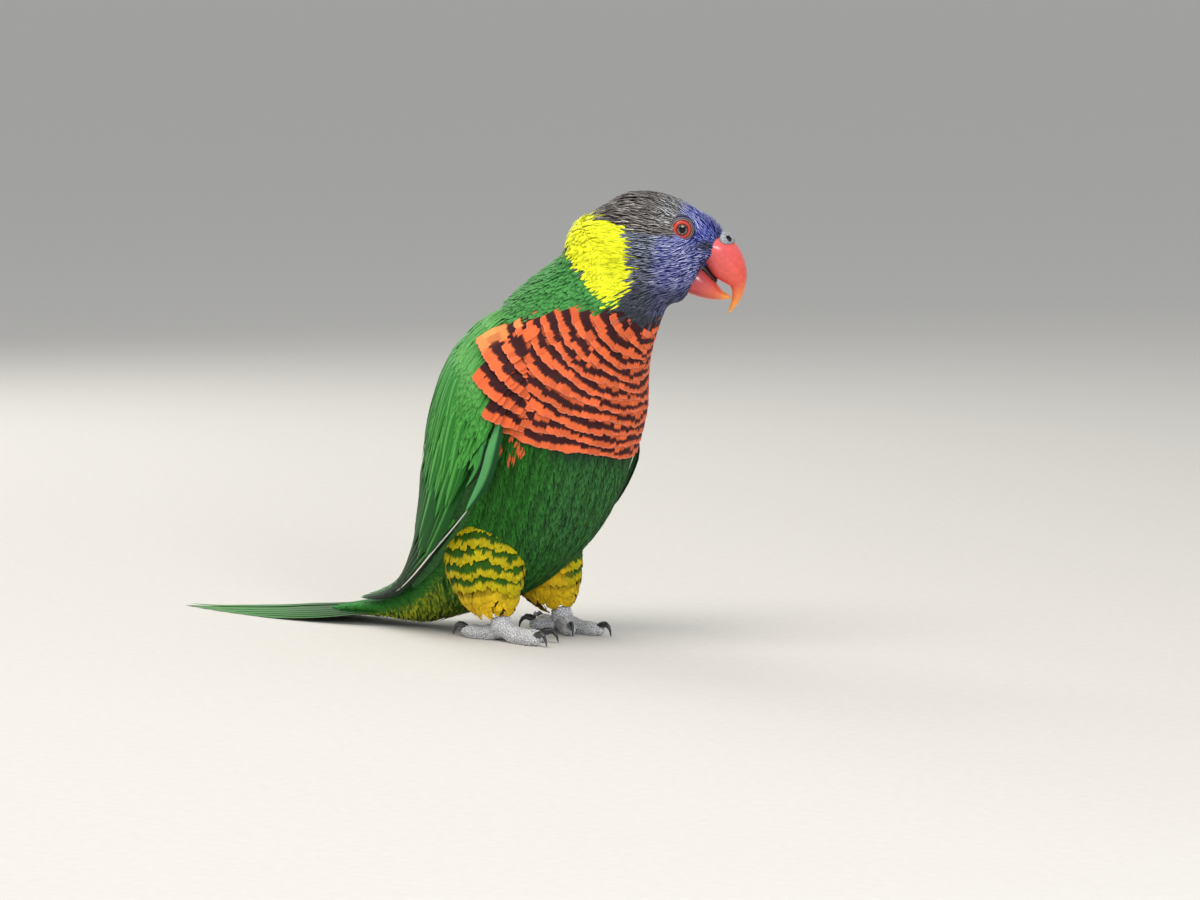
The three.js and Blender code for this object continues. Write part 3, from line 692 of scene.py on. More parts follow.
polar, round_about = np.meshgrid(
    HEAD_ROWS, np.linspace(0, 2 * math.pi, HEAD_COLUMNS, endpoint=False), indexing="ij"
)
head_out = (
    head_forward * np.cos(polar)[..., None]
    + head_up * (np.sin(polar) * np.cos(round_about))[..., None]
    - head_left * (np.sin(polar) * np.sin(round_about))[..., None]
)
head_grid, _ = cast(
    trunk_tree, np.broadcast_to(HEAD_CENTRE, head_out.shape), head_out, HEAD_REACH
)
head_grid = evened(head_grid, 2, True)
head_rise = np.linalg.norm(head_grid - BILL_MIDDLE, axis=-1)
for side in (-1, 1):
    from_eye = np.linalg.norm(head_grid - eye_middle(side) - 4 * eye_gaze(side), axis=-1)
    head_rise = head_rise - EYE_PART * np.exp(-((from_eye / EYE_PART_WIDTH) ** 2) / 2)
head_sheet = Sheet(head_grid, head_rise, True)
print("head sheet:", head_grid.shape[:2], "places")

# %% [markdown]
# ## A feather
# A contour feather is a thin vane, arched from side to side, with a shaft down its middle and a soft
# end. Each one here is a small grid of quads: its rows are stations from root to tip and its columns run
# from edge to edge. A flat underside closes it. All feathers of a piece are worked out together in
# arrays, because a loop over thousands of operators would take minutes. The root lies under the skin
# and under the feather before it, and only the outer part shows.

# %% Vanes from arrays
class Vanes:
    """The points, faces and markings of many feathers, gathered for one piece."""

    def __init__(self):
        self.batches = []

    def count(self):
        return sum(len(batch["points"]) for batch in self.batches)

    def add(self, sheet, paths, half_width, lift, form, paint, rng, mirror=False):
        """Feathers along paths of grid places (feather, station, 2).

        lift is each station's height in mm. form has the stations, the columns, the outline as a
        function of the share of the length, and how round, arched, ragged and tilted a vane is.
        """
        if not len(paths):
            return
        stations = np.asarray(form["stations"], float)
        columns = np.linspace(-1, 1, form["columns"])
        count = len(paths)
        t = np.broadcast_to(
            stations[None, :, None], (count, len(stations), len(columns))
        ).copy()
        station = t
        t = t * (1 - form["round"] * np.abs(columns) ** 2.2 * t**2)
        t = t - form["ragged"] * rng.random((count, 1, len(columns))) * t**8
        where = np.interp(t, stations, np.arange(len(stations)))
        low = np.clip(np.floor(where).astype(int), 0, len(stations) - 2)
        part = where - low
        each = np.arange(count)[:, None, None]
        middle = paths[each, low] * (1 - part[..., None]) + paths[each, low + 1] * part[..., None]
        if lift.ndim == 1:
            lift = np.broadcast_to(lift, (count, len(stations)))
        height = lift[each, low] * (1 - part) + lift[each, low + 1] * part

        centre = sheet.at(sheet.points, paths)
        tangent = unit(np.gradient(centre, axis=1))
        side = unit(np.cross(sheet.at(sheet.normal, paths), tangent))
        along_grid, across_grid = sheet.slope(sheet.points)
        metric = [sheet.at(product[..., None], paths)[..., 0] for product in sheet.metric]
        on_along = (side * sheet.at(along_grid, paths)).sum(-1)
        on_across = (side * sheet.at(across_grid, paths)).sum(-1)
        side_place = grid_steps(metric, on_along, on_across)
        side_step = side_place[each, low] * (1 - part[..., None])
        side_step = side_step + side_place[each, low + 1] * part[..., None]

        width = half_width[:, None, None] * form["outline"](t)
        across = width * columns
        place = middle + side_step * across[..., None]
        height = height + width * form["arch"] * (1 - columns**2) + across * form["tilt"]
        points = sheet.at(sheet.points, place)
        points = points + sheet.at(sheet.normal, place) * height[..., None]
        length = np.linalg.norm(np.diff(centre, axis=1), axis=2).sum(1)
        barb = t * length[:, None, None] - 0.7 * np.abs(across)
        if mirror:
            points = points * np.array([1, -1, 1])
        root = paths[:, 0]
        if form.get("cell"):
            root = None
        self.batches.append(
            {
                "points": points,
                "uv": np.stack([np.broadcast_to(columns / 2 + 0.5, t.shape), station], -1),
                "barb": barb,
                "root": root,
                "grid": np.array(sheet.points.shape[:2], float),
                "paint": paint,
                "mirror": mirror,
                "seed": rng.random(count),
            }
        )


def vane_faces(stations, columns, mirror):
    """Quads and end faces of one feather: its top, then the two points of each underside row."""
    m, k = np.meshgrid(np.arange(stations - 1), np.arange(columns - 1), indexing="ij")
    a = (m * columns + k).ravel()
    quads = [np.stack([a, a + columns, a + columns + 1, a + 1], 1)]
    under = stations * columns + 2 * np.arange(stations - 1)
    quads.append(np.stack([under, under + 1, under + 3, under + 2], 1))
    quads = np.vstack(quads)
    last = (stations - 1) * columns
    ends = np.array([np.arange(columns), last + np.arange(columns)[::-1]])
    if mirror:
        quads, ends = quads[:, ::-1], ends[:, ::-1]
    return quads, ends


PATCH = 0.003  # side of a tuft's patch on the baking map


def build_vanes(name, vanes):
    """One mesh object of all the feathers gathered in vanes."""
    points, vane_uv, bake_uv, barbs, marks = [], [], [], [], []
    colours = {key: [] for key in ("root_colour", "tip_colour", "shaft_colour")}
    quad_list, end_list, offset = [], [], 0
    cells = sum(len(b["points"]) for b in vanes.batches if b["root"] is None)
    cell_side = math.ceil(math.sqrt(cells)) if cells else 1
    cell_at = 0
    for batch in vanes.batches:
        count, stations, columns = batch["points"].shape[:3]
        top = batch["points"].reshape(count, -1, 3)
        under = batch["points"][:, :, [0, -1]].reshape(count, -1, 3)
        each = top.shape[1] + under.shape[1]
        points.append(np.concatenate([top, under], 1).reshape(-1, 3))

        def both(values):
            flat = values.reshape(count, stations * columns, -1)
            edge = values[:, :, [0, -1]].reshape(count, stations * 2, -1)
            return np.concatenate([flat, edge], 1)

        uv = both(batch["uv"])
        vane_uv.append(uv.reshape(-1, 2))
        if batch["root"] is None:
            number = cell_at + np.arange(count)
            cell_at += count
            corner = np.stack([number % cell_side, number // cell_side], 1) / cell_side
            bake = corner[:, None] + (0.1 + 0.8 * uv) / cell_side
        else:
            corner = 0.01 + 0.98 * (batch["root"] % batch["grid"]) / batch["grid"]
            bake = corner[:, None, ::-1] + PATCH * (uv - 0.5)
        bake_uv.append(bake.reshape(-1, 2))
        barbs.append(both(batch["barb"][..., None]).reshape(-1))
        paint = batch["paint"]
        for key in colours:
            colours[key].append(np.repeat(paint[key], each, axis=0))
        mark = np.stack([paint["bar_at"], paint["shaft_strength"], batch["seed"]], 1)
        marks.append(np.repeat(mark, each, axis=0))
        quads, ends = vane_faces(stations, columns, batch["mirror"])
        starts = offset + each * np.arange(count)
        quad_list.append((quads[None] + starts[:, None, None]).reshape(-1, 4))
        end_list.append((ends[None] + starts[:, None, None]).reshape(-1, columns))
        offset += count * each

    corners = [faces.ravel() for faces in quad_list + end_list]
    totals = [np.full(len(faces), faces.shape[1]) for faces in quad_list + end_list]
    corners, totals = np.concatenate(corners), np.concatenate(totals)
    data = bpy.data.meshes.new(name)
    data.vertices.add(offset)
    data.vertices.foreach_set("co", to_scene(np.vstack(points)).ravel())
    data.loops.add(len(corners))
    data.loops.foreach_set("vertex_index", corners)
    data.polygons.add(len(totals))
    data.polygons.foreach_set("loop_start", np.r_[0, np.cumsum(totals)[:-1]])
    data.polygons.foreach_set("loop_total", totals)
    data.polygons.foreach_set("use_smooth", np.ones(len(totals), bool))
    for layer, values in (("OFBake", bake_uv), ("vane", vane_uv)):
        uv_layer = data.uv_layers.new(name=layer)
        uv_layer.data.foreach_set("uv", np.vstack(values)[corners].ravel())
    data.update(calc_edges=True)
    made = bpy.data.objects.new(name, data)
    bpy.context.scene.collection.objects.link(made)
    for key, values in colours.items():
        colour_points(made, key, np.vstack(values))
    value_points(made, "barb", np.concatenate(barbs))
    marking = data.attributes.new("marking", "FLOAT_VECTOR", "POINT")
    marking.data.foreach_set("vector", np.vstack(marks).ravel())
    return made


# %% Rows of tips and the paths of the feathers
def rows_of_tips(sheet, levels, spacing, rng, scatter):
    """Grid places along the level lines of the rise, a spacing apart and shifted every other row."""
    rows, columns = sheet.rise.shape
    tips = []
    for number, level in enumerate(levels):
        above = sheet.rise > level
        change = above[1:] != above[:-1]
        found = change.any(0)
        if found.sum() < 3:
            continue
        i = change.argmax(0)
        here, there = sheet.rise[i, np.arange(columns)], sheet.rise[i + 1, np.arange(columns)]
        place_i = np.where(found, i + (level - here) / np.where(found, there - here, 1), np.nan)
        if sheet.closed:
            place = np.stack([np.append(place_i, place_i[0]), np.arange(columns + 1.0)], 1)
        else:
            place = np.stack([place_i, np.arange(float(columns))], 1)
        points = sheet.at(sheet.points, np.nan_to_num(place))
        steps = np.linalg.norm(np.diff(points, axis=0), axis=1)
        steps = np.where(np.isnan(place[1:, 0] + place[:-1, 0]), 0, steps)
        reach = np.r_[0, np.cumsum(steps)]
        gap = spacing(level)
        marks = np.arange((number % 2) * gap / 2, reach[-1], gap)
        marks = marks + rng.uniform(-scatter, scatter, len(marks)) * gap
        j = np.interp(marks, reach, np.arange(len(place)))
        on_line = np.interp(j, np.arange(len(place)), place[:, 0])
        good = ~np.isnan(on_line)
        tips.append(np.stack([on_line[good], j[good]], 1))
    return np.vstack(tips) if tips else np.zeros((0, 2))


def laid(sheet, tips, lengths, turns, stations):
    """Paths from root to tip, in grid places, found by walking back from the tips."""
    places, path = tips, [tips]
    backwards = list(stations)[::-1]
    for after, before in zip(backwards, backwards[1:]):
        step = (lengths * (after - before))[:, None]
        flow, side = sheet.at(sheet.flow, places), sheet.at(sheet.side, places)
        heading = flow * np.cos(turns)[:, None] + side * np.sin(turns)[:, None]
        places = places - heading * step
        path.append(places)
    return np.stack(path[::-1], 1)


# %% [markdown]
# ## Feather colours
# A lorikeet's markings belong to regions: blue and violet on the face, a lemon collar round the nape,
# orange breast feathers with blue-black bars, green elsewhere and yellow thighs barred with green. The
# regions are told from a place on the body alone, so the skin and every feather can ask the same
# function and always agree. A feather gets a colour for its base, one for its end, one for its shaft
# streak, and the share of its length where base turns into end.

# %% Places on the trunk and the head
BREAST_TOP = [
    # angle from the belly: how far from the throat the barred breast begins
    [0, 13.5],
    [20, 14.5],
    [44, 15.5],
    [66, 17],
    [74, 19.7],
    [90, 25.2],
    [104, 32],
    [112, 38.6],
    [118, 45],
    [127, 51],
]
BREAST_LAST = 51.6  # the ring where it ends
BREAST_ROUND = 126  # angle from the belly where the bars end
COLLAR_LOW = [
    # forward in the head's frame: how far up the collar's lower edge lies
    [-28, 1.5],
    [-25, -3.7],
    [-19.5, -10.8],
    [-14.8, -16.2],
    [-7.7, -18.2],
    [-0.9, -13.5],
]
COLLAR_FRONT = [
    # up in the head's frame: how far forward the collar reaches
    [-19, -9.5],
    [-13.5, -5.2],
    [-8, -4.8],
    [-1, -6.5],
    [6, -8],
]
COLLAR_TOP = 7.4


def head_places(points):
    """Forward, sideways without its sign, and up from the head's middle."""
    offset = points - HEAD_CENTRE
    return offset @ head_forward, np.abs(offset @ head_left), offset @ head_up


def trunk_places(points):
    """Distance along the spine and angle from the belly, 0 to 180."""
    samples = np.arange(-38, 150, 0.5)
    at, _, back, left = spine_frame(samples)
    nearest = np.empty(len(points), int)
    for start in range(0, len(points), 4000):
        part = points[start : start + 4000]
        gap = ((part[:, None] - at[None]) ** 2).sum(2)
        nearest[start : start + 4000] = gap.argmin(1)
    offset = points - at[nearest]
    section = smooth(TRUNK_SECTIONS, samples[nearest])
    to_back = (offset * back[nearest]).sum(1)
    sideways = (offset * left[nearest]).sum(1) / section[:, 2]
    depth = to_back / np.where(to_back > 0, section[:, 0], section[:, 1])
    return samples[nearest], np.degrees(np.arctan2(np.abs(sideways), -depth))


# %% Paint
COLOURS = {
    name: linear(colour)
    for name, colour in {
        "belly": "#1b5514",
        "belly end": "#2a6f22",
        "front belly": "#1d4a24",
        "front belly end": "#3a7638",
        "bluish black": "#1c2823",
        "nape": "#2c6e30",
        "nape end": "#4a944a",
        "mantle": "#235f26",
        "mantle end": "#3b8a3f",
        "vent": "#4d6410",
        "vent end": "#a3aa1e",
        "bar": "#3c191b",
        "breast": "#ea6a3a",
        "shoulder": "#f9a35c",
        "collar": "#eef41e",
        "collar end": "#f7fd2c",
        "crown": "#2e2826",
        "crown streak": "#b9b4ae",
        "brow": "#3036a0",
        "brow streak": "#bfd0ff",
        # near white: the forehead's top streaks with a painted highlight on them
        "top streak and highlight": "#eaf4fa",
        "ear": "#282c3c",
        "ear streak": "#b3bccc",
        "cheek": "#343b80",
        "cheek streak": "#d0d5fc",
        "throat": "#2d2e3e",
        "throat streak": "#7378a4",
        "black": "#30323a",
        "black streak": "#7b8392",
        "lore": "#2b2c34",
        "thigh": "#2a5608",
        "thigh end": "#bba90a",
        "inner thigh": "#c9a012",
        "inner thigh end": "#e2b81a",
    }.items()
}


def mixed(first, second, share):
    share = np.asarray(share)[..., None]
    return first * (1 - share) + second * share


def blank_paint(count):
    return {
        "root_colour": np.tile(COLOURS["belly"], (count, 1)),
        "tip_colour": np.tile(COLOURS["belly end"], (count, 1)),
        "shaft_colour": np.tile(COLOURS["belly end"], (count, 1)),
        "bar_at": np.full(count, 0.55),
        "shaft_strength": np.zeros(count),
    }


def is_collar(points, ragged=0.0):
    """Whether points lie in the collar; ragged moves its edges by that many mm."""
    forward, _, up = head_places(points)
    behind = forward < between(COLLAR_FRONT, up) + ragged
    below = up < COLLAR_TOP - 0.3 * ragged
    above = up > between(COLLAR_LOW, forward) - ragged
    near = np.linalg.norm(points - HEAD_CENTRE, axis=1) < 32
    return behind & below & above & near


def breast_places(points):
    """Distance below the breast's upper limit, the ring, whether inside, and the trunk's places."""
    distance, from_belly = trunk_places(points)
    from_throat = np.linalg.norm(points - THROAT, axis=1)
    under_top, ring = from_throat - between(BREAST_TOP, from_belly), ring_of(points)
    inside = (under_top > 0) & (ring < BREAST_LAST) & (from_belly < BREAST_ROUND)
    return under_top, ring, inside, distance, from_belly


def body_colours(points, rng):
    """Base and end colours below the head."""
    C, count = COLOURS, len(points)
    under_top, ring, inside, distance, from_belly = breast_places(points)
    ahead = (1 - smoothstep(from_belly, 25, 60)) * smoothstep(distance, 30, 60)
    root = mixed(C["belly"], C["front belly"], ahead)
    tip = mixed(C["belly end"], C["front belly end"], ahead)
    # painted shade: darker bands down the front, standing for the shade in the folds of the plumage
    fold_shade = np.sin(from_belly * 0.33 + 1.2 * np.sin(distance * 0.07)) ** 4
    fold_shade = fold_shade * (1 - smoothstep(from_belly, 70, 100)) * 0.4
    root, tip = root * (1 - fold_shade[:, None]), tip * (1 - fold_shade[:, None])
    under_edge = 1 - smoothstep(ring - BREAST_LAST, 1, 7)
    under_edge = under_edge * (1 - smoothstep(from_belly, 40, 60))
    root = mixed(root, C["bluish black"], under_edge * 0.8)
    tip = mixed(tip, C["bluish black"], under_edge * 0.7)
    behind = smoothstep(from_belly, 112, 130)
    root, tip = mixed(root, C["mantle"], behind), mixed(tip, C["mantle end"], behind)
    vent = (1 - smoothstep(distance, 2, 30)) * (1 - smoothstep(from_belly, 60, 100))
    speckled = np.clip(vent + rng.uniform(-0.45, 0.35, count), 0, 1) * (vent > 0.05)
    root, tip = mixed(root, C["vent"], speckled * 0.7), mixed(tip, C["vent end"], speckled)
    nape = (under_top < 1) & (from_belly > 60)
    nape = nape | (distance > 112) & (from_belly > 100)
    root[nape], tip[nape] = C["nape"], C["nape end"]
    patches = np.sin(points[:, 2] * 0.9) * np.sin(points[:, 0] * 0.8 + points[:, 1] * 0.5)
    spots = (ring > BREAST_LAST) & (ring < 60) & (np.abs(from_belly - 72) < 9) & (patches > 0.35)
    root[spots], tip[spots] = C["breast"], C["breast"]
    root[inside], tip[inside] = C["bar"], C["breast"]
    shoulder = smoothstep(from_belly, 104, 118) * inside
    tip = mixed(tip, C["shoulder"], shoulder)
    black = (under_top < 1) & (from_belly < 74)
    root[black], tip[black] = C["black"], C["black"]
    return root, tip, black


def head_colours(points):
    """Base and streak colours on the head, and how strong the streaks are."""
    C = COLOURS
    forward, _, up = head_places(points)
    brow = smoothstep(forward, 7, 14) * smoothstep(up, 3, 8)
    top = smoothstep(up, 8, 13) * smoothstep(forward, -2, 6) * (1 - smoothstep(forward, 14, 20))
    crown = smoothstep(up, 5, 9) * (1 - smoothstep(forward, 4, 12))
    low = smoothstep(-up, 8, 14)
    cheek = smoothstep(forward, 0, 7) * (1 - smoothstep(up, 2, 7)) * (1 - 0.6 * low)
    chin = low * smoothstep(forward, 2, 9)
    ear = (1 - smoothstep(forward, -2, 5)) * (1 - smoothstep(up, 4, 7)) * (1 - low)
    weights = [brow, crown, cheek, chin * 1.3, ear, low * (1 - chin), 0.02 + 0 * up]
    weights = np.stack(weights, 1)
    weights = weights / weights.sum(1, keepdims=True)
    names = ("brow", "crown", "cheek", "throat", "ear", "black", "ear")
    root = weights @ np.stack([C[name] for name in names])
    streak = weights @ np.stack([C[f"{name} streak"] for name in names])
    # the streaks on top of the forehead are real, and their near-white there is painted highlight
    streak = mixed(streak, C["top streak and highlight"], 0.85 * top)
    lore = np.exp(-(((forward - 18.5) / 3.2) ** 2) - (((up - 5) / 2.4) ** 2))
    root = mixed(root, C["lore"], lore)
    strength = weights @ np.array([0.95, 0.8, 0.95, 0.6, 0.85, 0.45, 0.6]) + 0.3 * top
    return root, streak, strength * (1 - 0.8 * lore)


def coat_paint(points, rng):
    """Colours of feathers that show at these points."""
    count = len(points)
    paint = blank_paint(count)
    root, tip, black = body_colours(points, rng)
    shaft = np.tile(COLOURS["black streak"], (count, 1))
    strength = np.where(black, 0.3, 0.0)
    _, _, up = head_places(points)
    from_head = np.linalg.norm(points - HEAD_CENTRE, axis=1)
    in_head = (from_head < 25) & (up > -16) | (from_head < 22.5)
    head_root, head_streak, head_strength = head_colours(points)
    root[in_head], tip[in_head] = head_root[in_head], head_root[in_head] * 1.2
    shaft[in_head], strength[in_head] = head_streak[in_head], head_strength[in_head]
    collar = is_collar(points, rng.normal(0, 0.9, count))
    root[collar], tip[collar] = COLOURS["collar"], COLOURS["collar end"]
    strength[collar] = 0
    uneven = 0.1 + 0.08 * in_head
    shade = np.clip(1 + uneven * rng.standard_normal(count), 0.55, 1.5)[:, None]
    strength = strength * rng.uniform(0.35, 1.1, count)
    paint["root_colour"], paint["tip_colour"] = root * shade, np.clip(tip * shade, 0, 1)
    paint["shaft_colour"] = np.clip(shaft * (2 * shade - 1), 0, 1)
    paint["shaft_strength"] = strength
    paint["bar_at"] = 0.65 + 0.1 * rng.standard_normal(count)
    return paint


skin_paint = coat_paint(points_of(skin), np.random.default_rng(1))
colour_points(skin, "coat", skin_paint["root_colour"])

# %% [markdown]
# ## Feather keratin as a material
# Feathers are keratin: matt, a little silky along the barbs, never glossy on the body. The barbs of a
# real vane are a third of a millimetre apart, too fine to show at this size, so they are drawn twice as
# coarse, as faint darker lines and as bump. Where base colour meets end colour the line is ragged,
# because each barb changes colour at its own place.

# %% Plumage material
BARB_PITCH = 0.55  # mm, drawn about twice as coarse as the real barbs so that they show


def plumage(
    name,
    softness,
    rag,
    streak_width=0.3,
    edge=None,
    highlight_from=0.93,
    across=False,
    hairs=22.0,
    roughness=0.65,
):
    """A feather material. softness and rag are shares of the vane's length; across marks its webs.

    A feather with an edge colour is barred: its base shows the end's colour again under the bar, and a
    thin rim at its end is a painted highlight in the edge colour.
    """
    material, tree, shader = new_material(name)
    vane = add_node(tree, "ShaderNodeUVMap", uv_map="vane")
    vane = add_node(tree, "ShaderNodeSeparateXYZ", {0: vane.outputs[0]})
    marking = add_node(tree, "ShaderNodeAttribute", attribute_name="marking")
    marking = add_node(tree, "ShaderNodeSeparateXYZ", {0: marking.outputs["Vector"]})
    barb = add_node(tree, "ShaderNodeAttribute", attribute_name="barb")
    colour = {
        key: add_node(tree, "ShaderNodeAttribute", attribute_name=key).outputs["Color"]
        for key in ("root_colour", "tip_colour", "shaft_colour")
    }

    def maths(operation, first, second=0.0, third=0.0):
        inputs = {0: first, 1: second, 2: third}
        return add_node(tree, "ShaderNodeMath", inputs, operation=operation).outputs[0]

    def ramp(value, low, high, out_low=0.0, out_high=1.0):
        inputs = {"Value": value, "From Min": low, "From Max": high}
        inputs |= {"To Min": out_low, "To Max": out_high}
        node = add_node(tree, "ShaderNodeMapRange", inputs, interpolation_type="SMOOTHSTEP")
        return node.outputs[0]

    u, t = vane.outputs[0], vane.outputs[1]
    bar_at, shaft_strength, seed = marking.outputs
    own = maths("MULTIPLY", seed, 40.0)
    strands = add_node(
        tree,
        "ShaderNodeCombineXYZ",
        {0: maths("MULTIPLY", u, hairs), 1: maths("MULTIPLY", t, 3.0), 2: own},
    )
    noise = add_node(
        tree, "ShaderNodeTexNoise", {"Vector": strands.outputs[0], "Scale": 1.0, "Detail": 2.0}
    ).outputs[0]
    line = u if across else t
    ragged = maths("MULTIPLY_ADD", maths("SUBTRACT", noise, 0.5), rag, line)
    low, high = maths("SUBTRACT", bar_at, softness), maths("ADD", bar_at, softness)
    share = ramp(ragged, low, high)
    if edge:
        bar = maths("MULTIPLY", maths("SUBTRACT", 1.0, bar_at), 1.35)
        below = ramp(ragged, maths("SUBTRACT", high, bar), maths("SUBTRACT", low, bar))
        share = maths("MAXIMUM", share, below)
    painted = mix_of(tree, "MIX", share, colour["root_colour"], colour["tip_colour"])
    from_shaft = maths("ABSOLUTE", maths("SUBTRACT", u, 0.5))
    uneven = maths("MULTIPLY_ADD", noise, 0.2, from_shaft)
    streak = ramp(uneven, streak_width / 2 + 0.1, streak_width / 2 - 0.04 + 0.1)
    streak = maths("MULTIPLY", maths("MULTIPLY", streak, shaft_strength), ramp(t, 0.3, 0.55))
    painted = mix_of(tree, "MIX", streak, painted, colour["shaft_colour"])
    if edge:
        # painted highlight: a thin pale rim in the edge colour along each feather's ragged end
        painted_rim_highlight = maths("MULTIPLY", ramp(ragged, highlight_from, highlight_from + 0.05), 0.7)
        painted = mix_of(tree, "MIX", painted_rim_highlight, painted, rgba(edge))
    wave = maths("SINE", maths("MULTIPLY", barb.outputs["Fac"], 2 * math.pi / BARB_PITCH))
    lines = maths("MULTIPLY_ADD", wave, 0.035, maths("MULTIPLY_ADD", noise, 0.5, 0.73))
    lines = add_node(tree, "ShaderNodeCombineColor", {0: lines, 1: lines, 2: lines}).outputs[0]
    painted = mix_of(tree, "MULTIPLY", 1.0, painted, lines)
    height = maths("MULTIPLY_ADD", wave, 0.4, maths("MULTIPLY", noise, 2.0))
    add_relief(tree, shader, height, 0.35, 0.12)
    tree.links.new(painted, shader.inputs["Base Color"])
    shader.inputs["Roughness"].default_value = roughness
    shader.inputs["IOR"].default_value = 1.54
    shader.inputs["Specular IOR Level"].default_value = 0.14
    return material


# barred keratin: a ragged dark bar and a thin pale rim of painted highlight, which draw each feather's
# end
barred_plumage = plumage(
    "barred feather keratin", 0.03, 0.15, edge="#ffa184", highlight_from=0.955, hairs=40.0
)
# soft keratin: base and end run into each other, so that the eye sees one matt, mottled coat
plain_plumage = plumage("soft feather keratin", 0.2, 0.3)
# streaked keratin: a shining shaft on a dark vane, which makes the head look brushed
head_plumage = plumage("streaked feather keratin", 0.1, 0.2, streak_width=0.34, roughness=0.6)

# bird skin under the coat: dull, in the colour of the feathers over it, a shadow seen between them
SKIN_GRAIN = 900.0  # waves per metre, a little over a millimetre each
skin_material, skin_nodes, skin_shader = new_material("skin under the coat")
coat_colour = add_node(skin_nodes, "ShaderNodeAttribute", attribute_name="coat").outputs["Color"]
skin_noise = mottling(skin_nodes, SKIN_GRAIN, 3.0)
skin_shade = mix_of(skin_nodes, "MIX", skin_noise, coat_colour, rgba("#141414"))
skin_nodes.links.new(skin_shade, skin_shader.inputs["Base Color"])
add_relief(skin_nodes, skin_shader, skin_noise, 1.0, 0.2)
skin_shader.inputs["Roughness"].default_value = 0.9
finish_piece(skin, skin_material, FLESH)

# %% [markdown]
# ## The coat of the trunk
# The barred breast comes first: broad feathers in rings 3.5 mm apart, each dark at the base and orange
# at its end, so that only a dark line and an orange band of each row show. The rest of the trunk gets
# narrow soft feathers in rows a little over 1 mm apart, and the neck gets smaller ones still. Where the
# folded wings cover the trunk no feather is needed.

# %% Barred breast
BAND = 3.5  # mm between the rows of the breast
FIRST_EDGE = 9.7  # the ring on which the first row's ends lie
BREAST_ROWS = 13
BREAST_SPACING = 2.4
BREAST_HALF_WIDTH = 2.1
breast_form = {
    "stations": [0, 0.3, 0.5, 0.62, 0.72, 0.8, 0.87, 0.93, 0.97, 1],
    "columns": 7,
    "outline": lambda t: (0.5 + 0.5 * smoothstep(t, 0, 0.35)) * (1 - 0.15 * smoothstep(t, 0.85, 1)),
    "round": 0.045,
    "arch": 0.05,
    "ragged": 0.04,
    "tilt": 0,
}


def breast_length(edge_at):
    return min(13, 3.5 + 0.36 * edge_at)


def breast_paint(sheet, tips, lengths, from_belly, rng):
    """The barred colours: the dark part takes half of what shows, and more at the midline."""
    paint = coat_paint(sheet.at(sheet.points, tips), rng)
    shown = np.minimum(BAND / sheet.at(sheet.steepness, tips)[:, 0] / lengths, 0.85)
    dark = 0.5 + 0.12 * (1 - smoothstep(from_belly, 4, 26))
    dark = dark + 0.08 * rng.standard_normal(len(tips))
    paint["bar_at"] = 1 - shown * (1 - dark)
    return paint


rng = np.random.default_rng(11)
breast = Vanes()
for row in range(BREAST_ROWS):
    edge_at = FIRST_EDGE + BAND * row
    tips = rows_of_tips(trunk_sheet, [edge_at], lambda level: BREAST_SPACING, rng, 0.15)
    tips[:, 1] = tips[:, 1] + 0.4 * (row % 2)
    count = len(tips)
    lengths = breast_length(edge_at) * (1 + 0.03 * rng.standard_normal(count))
    wave = 0.5 * np.sin(0.35 * tips[:, 1:] + 2.1 * row) + 0.28 * rng.standard_normal((count, 1))
    tips = tips + trunk_sheet.at(trunk_sheet.flow, tips) * wave
    turns = rng.normal(0, 0.08, count)
    paths = laid(trunk_sheet, tips, lengths, turns, breast_form["stations"])
    ends = trunk_sheet.at(trunk_sheet.points, tips)
    under_top, _, _, _, from_belly = breast_places(ends)
    kept = (under_top > -0.5) & (from_belly < BREAST_ROUND)
    paths, lengths, from_belly, ends = paths[kept], lengths[kept], from_belly[kept], ends[kept]
    paint = breast_paint(trunk_sheet, tips[kept], lengths, from_belly, rng)
    paint["root_colour"] = COLOURS["bar"] * rng.uniform(0.8, 1.2, (len(ends), 1))
    orange = mixed(COLOURS["breast"], COLOURS["shoulder"], smoothstep(from_belly, 104, 118))
    paint["tip_colour"] = np.clip(orange * rng.uniform(0.78, 1.18, (len(ends), 1)), 0, 1)
    lift = np.interp(breast_form["stations"], [0, 0.5, 1], [-0.4, 0.8, 1.5])
    widths = BREAST_HALF_WIDTH * (1 + 0.12 * rng.standard_normal(len(ends)))
    breast.add(trunk_sheet, paths, widths, lift, breast_form, paint, rng)
breast_coat = build_vanes("breast_feathers", breast)
finish_piece(breast_coat, barred_plumage)
print(f"breast: {breast.count()} feathers")

# %% Soft body feathers
soft_form = {
    "stations": [0, 0.4, 0.7, 0.88, 1],
    "columns": 3,
    "outline": lambda t: (0.6 + 0.4 * smoothstep(t, 0, 0.4)) * (1 - 0.8 * smoothstep(t, 0.5, 1)),
    "round": 0.12,
    "arch": 0.2,
    "ragged": 0.17,
    "tilt": 0,
}
WING_EDGES = [
    # distance: angles of the inner and the front edge of a folded wing, from the back
    [0, 3, 76],
    [16, 2, 88],
    [37, 2, 95],
    [60, 5, 99],
    [80, 14, 100],
    [96, 26, 95],
    [107, 38, 84],
    [112, 46, 74],
]


def under_wing(distance, from_belly):
    inner, front = np.moveaxis(smooth(WING_EDGES, distance), -1, 0)
    from_back = 180 - from_belly
    return (distance > 14) & (distance < 102) & (from_back > inner + 17) & (from_back < front - 12)


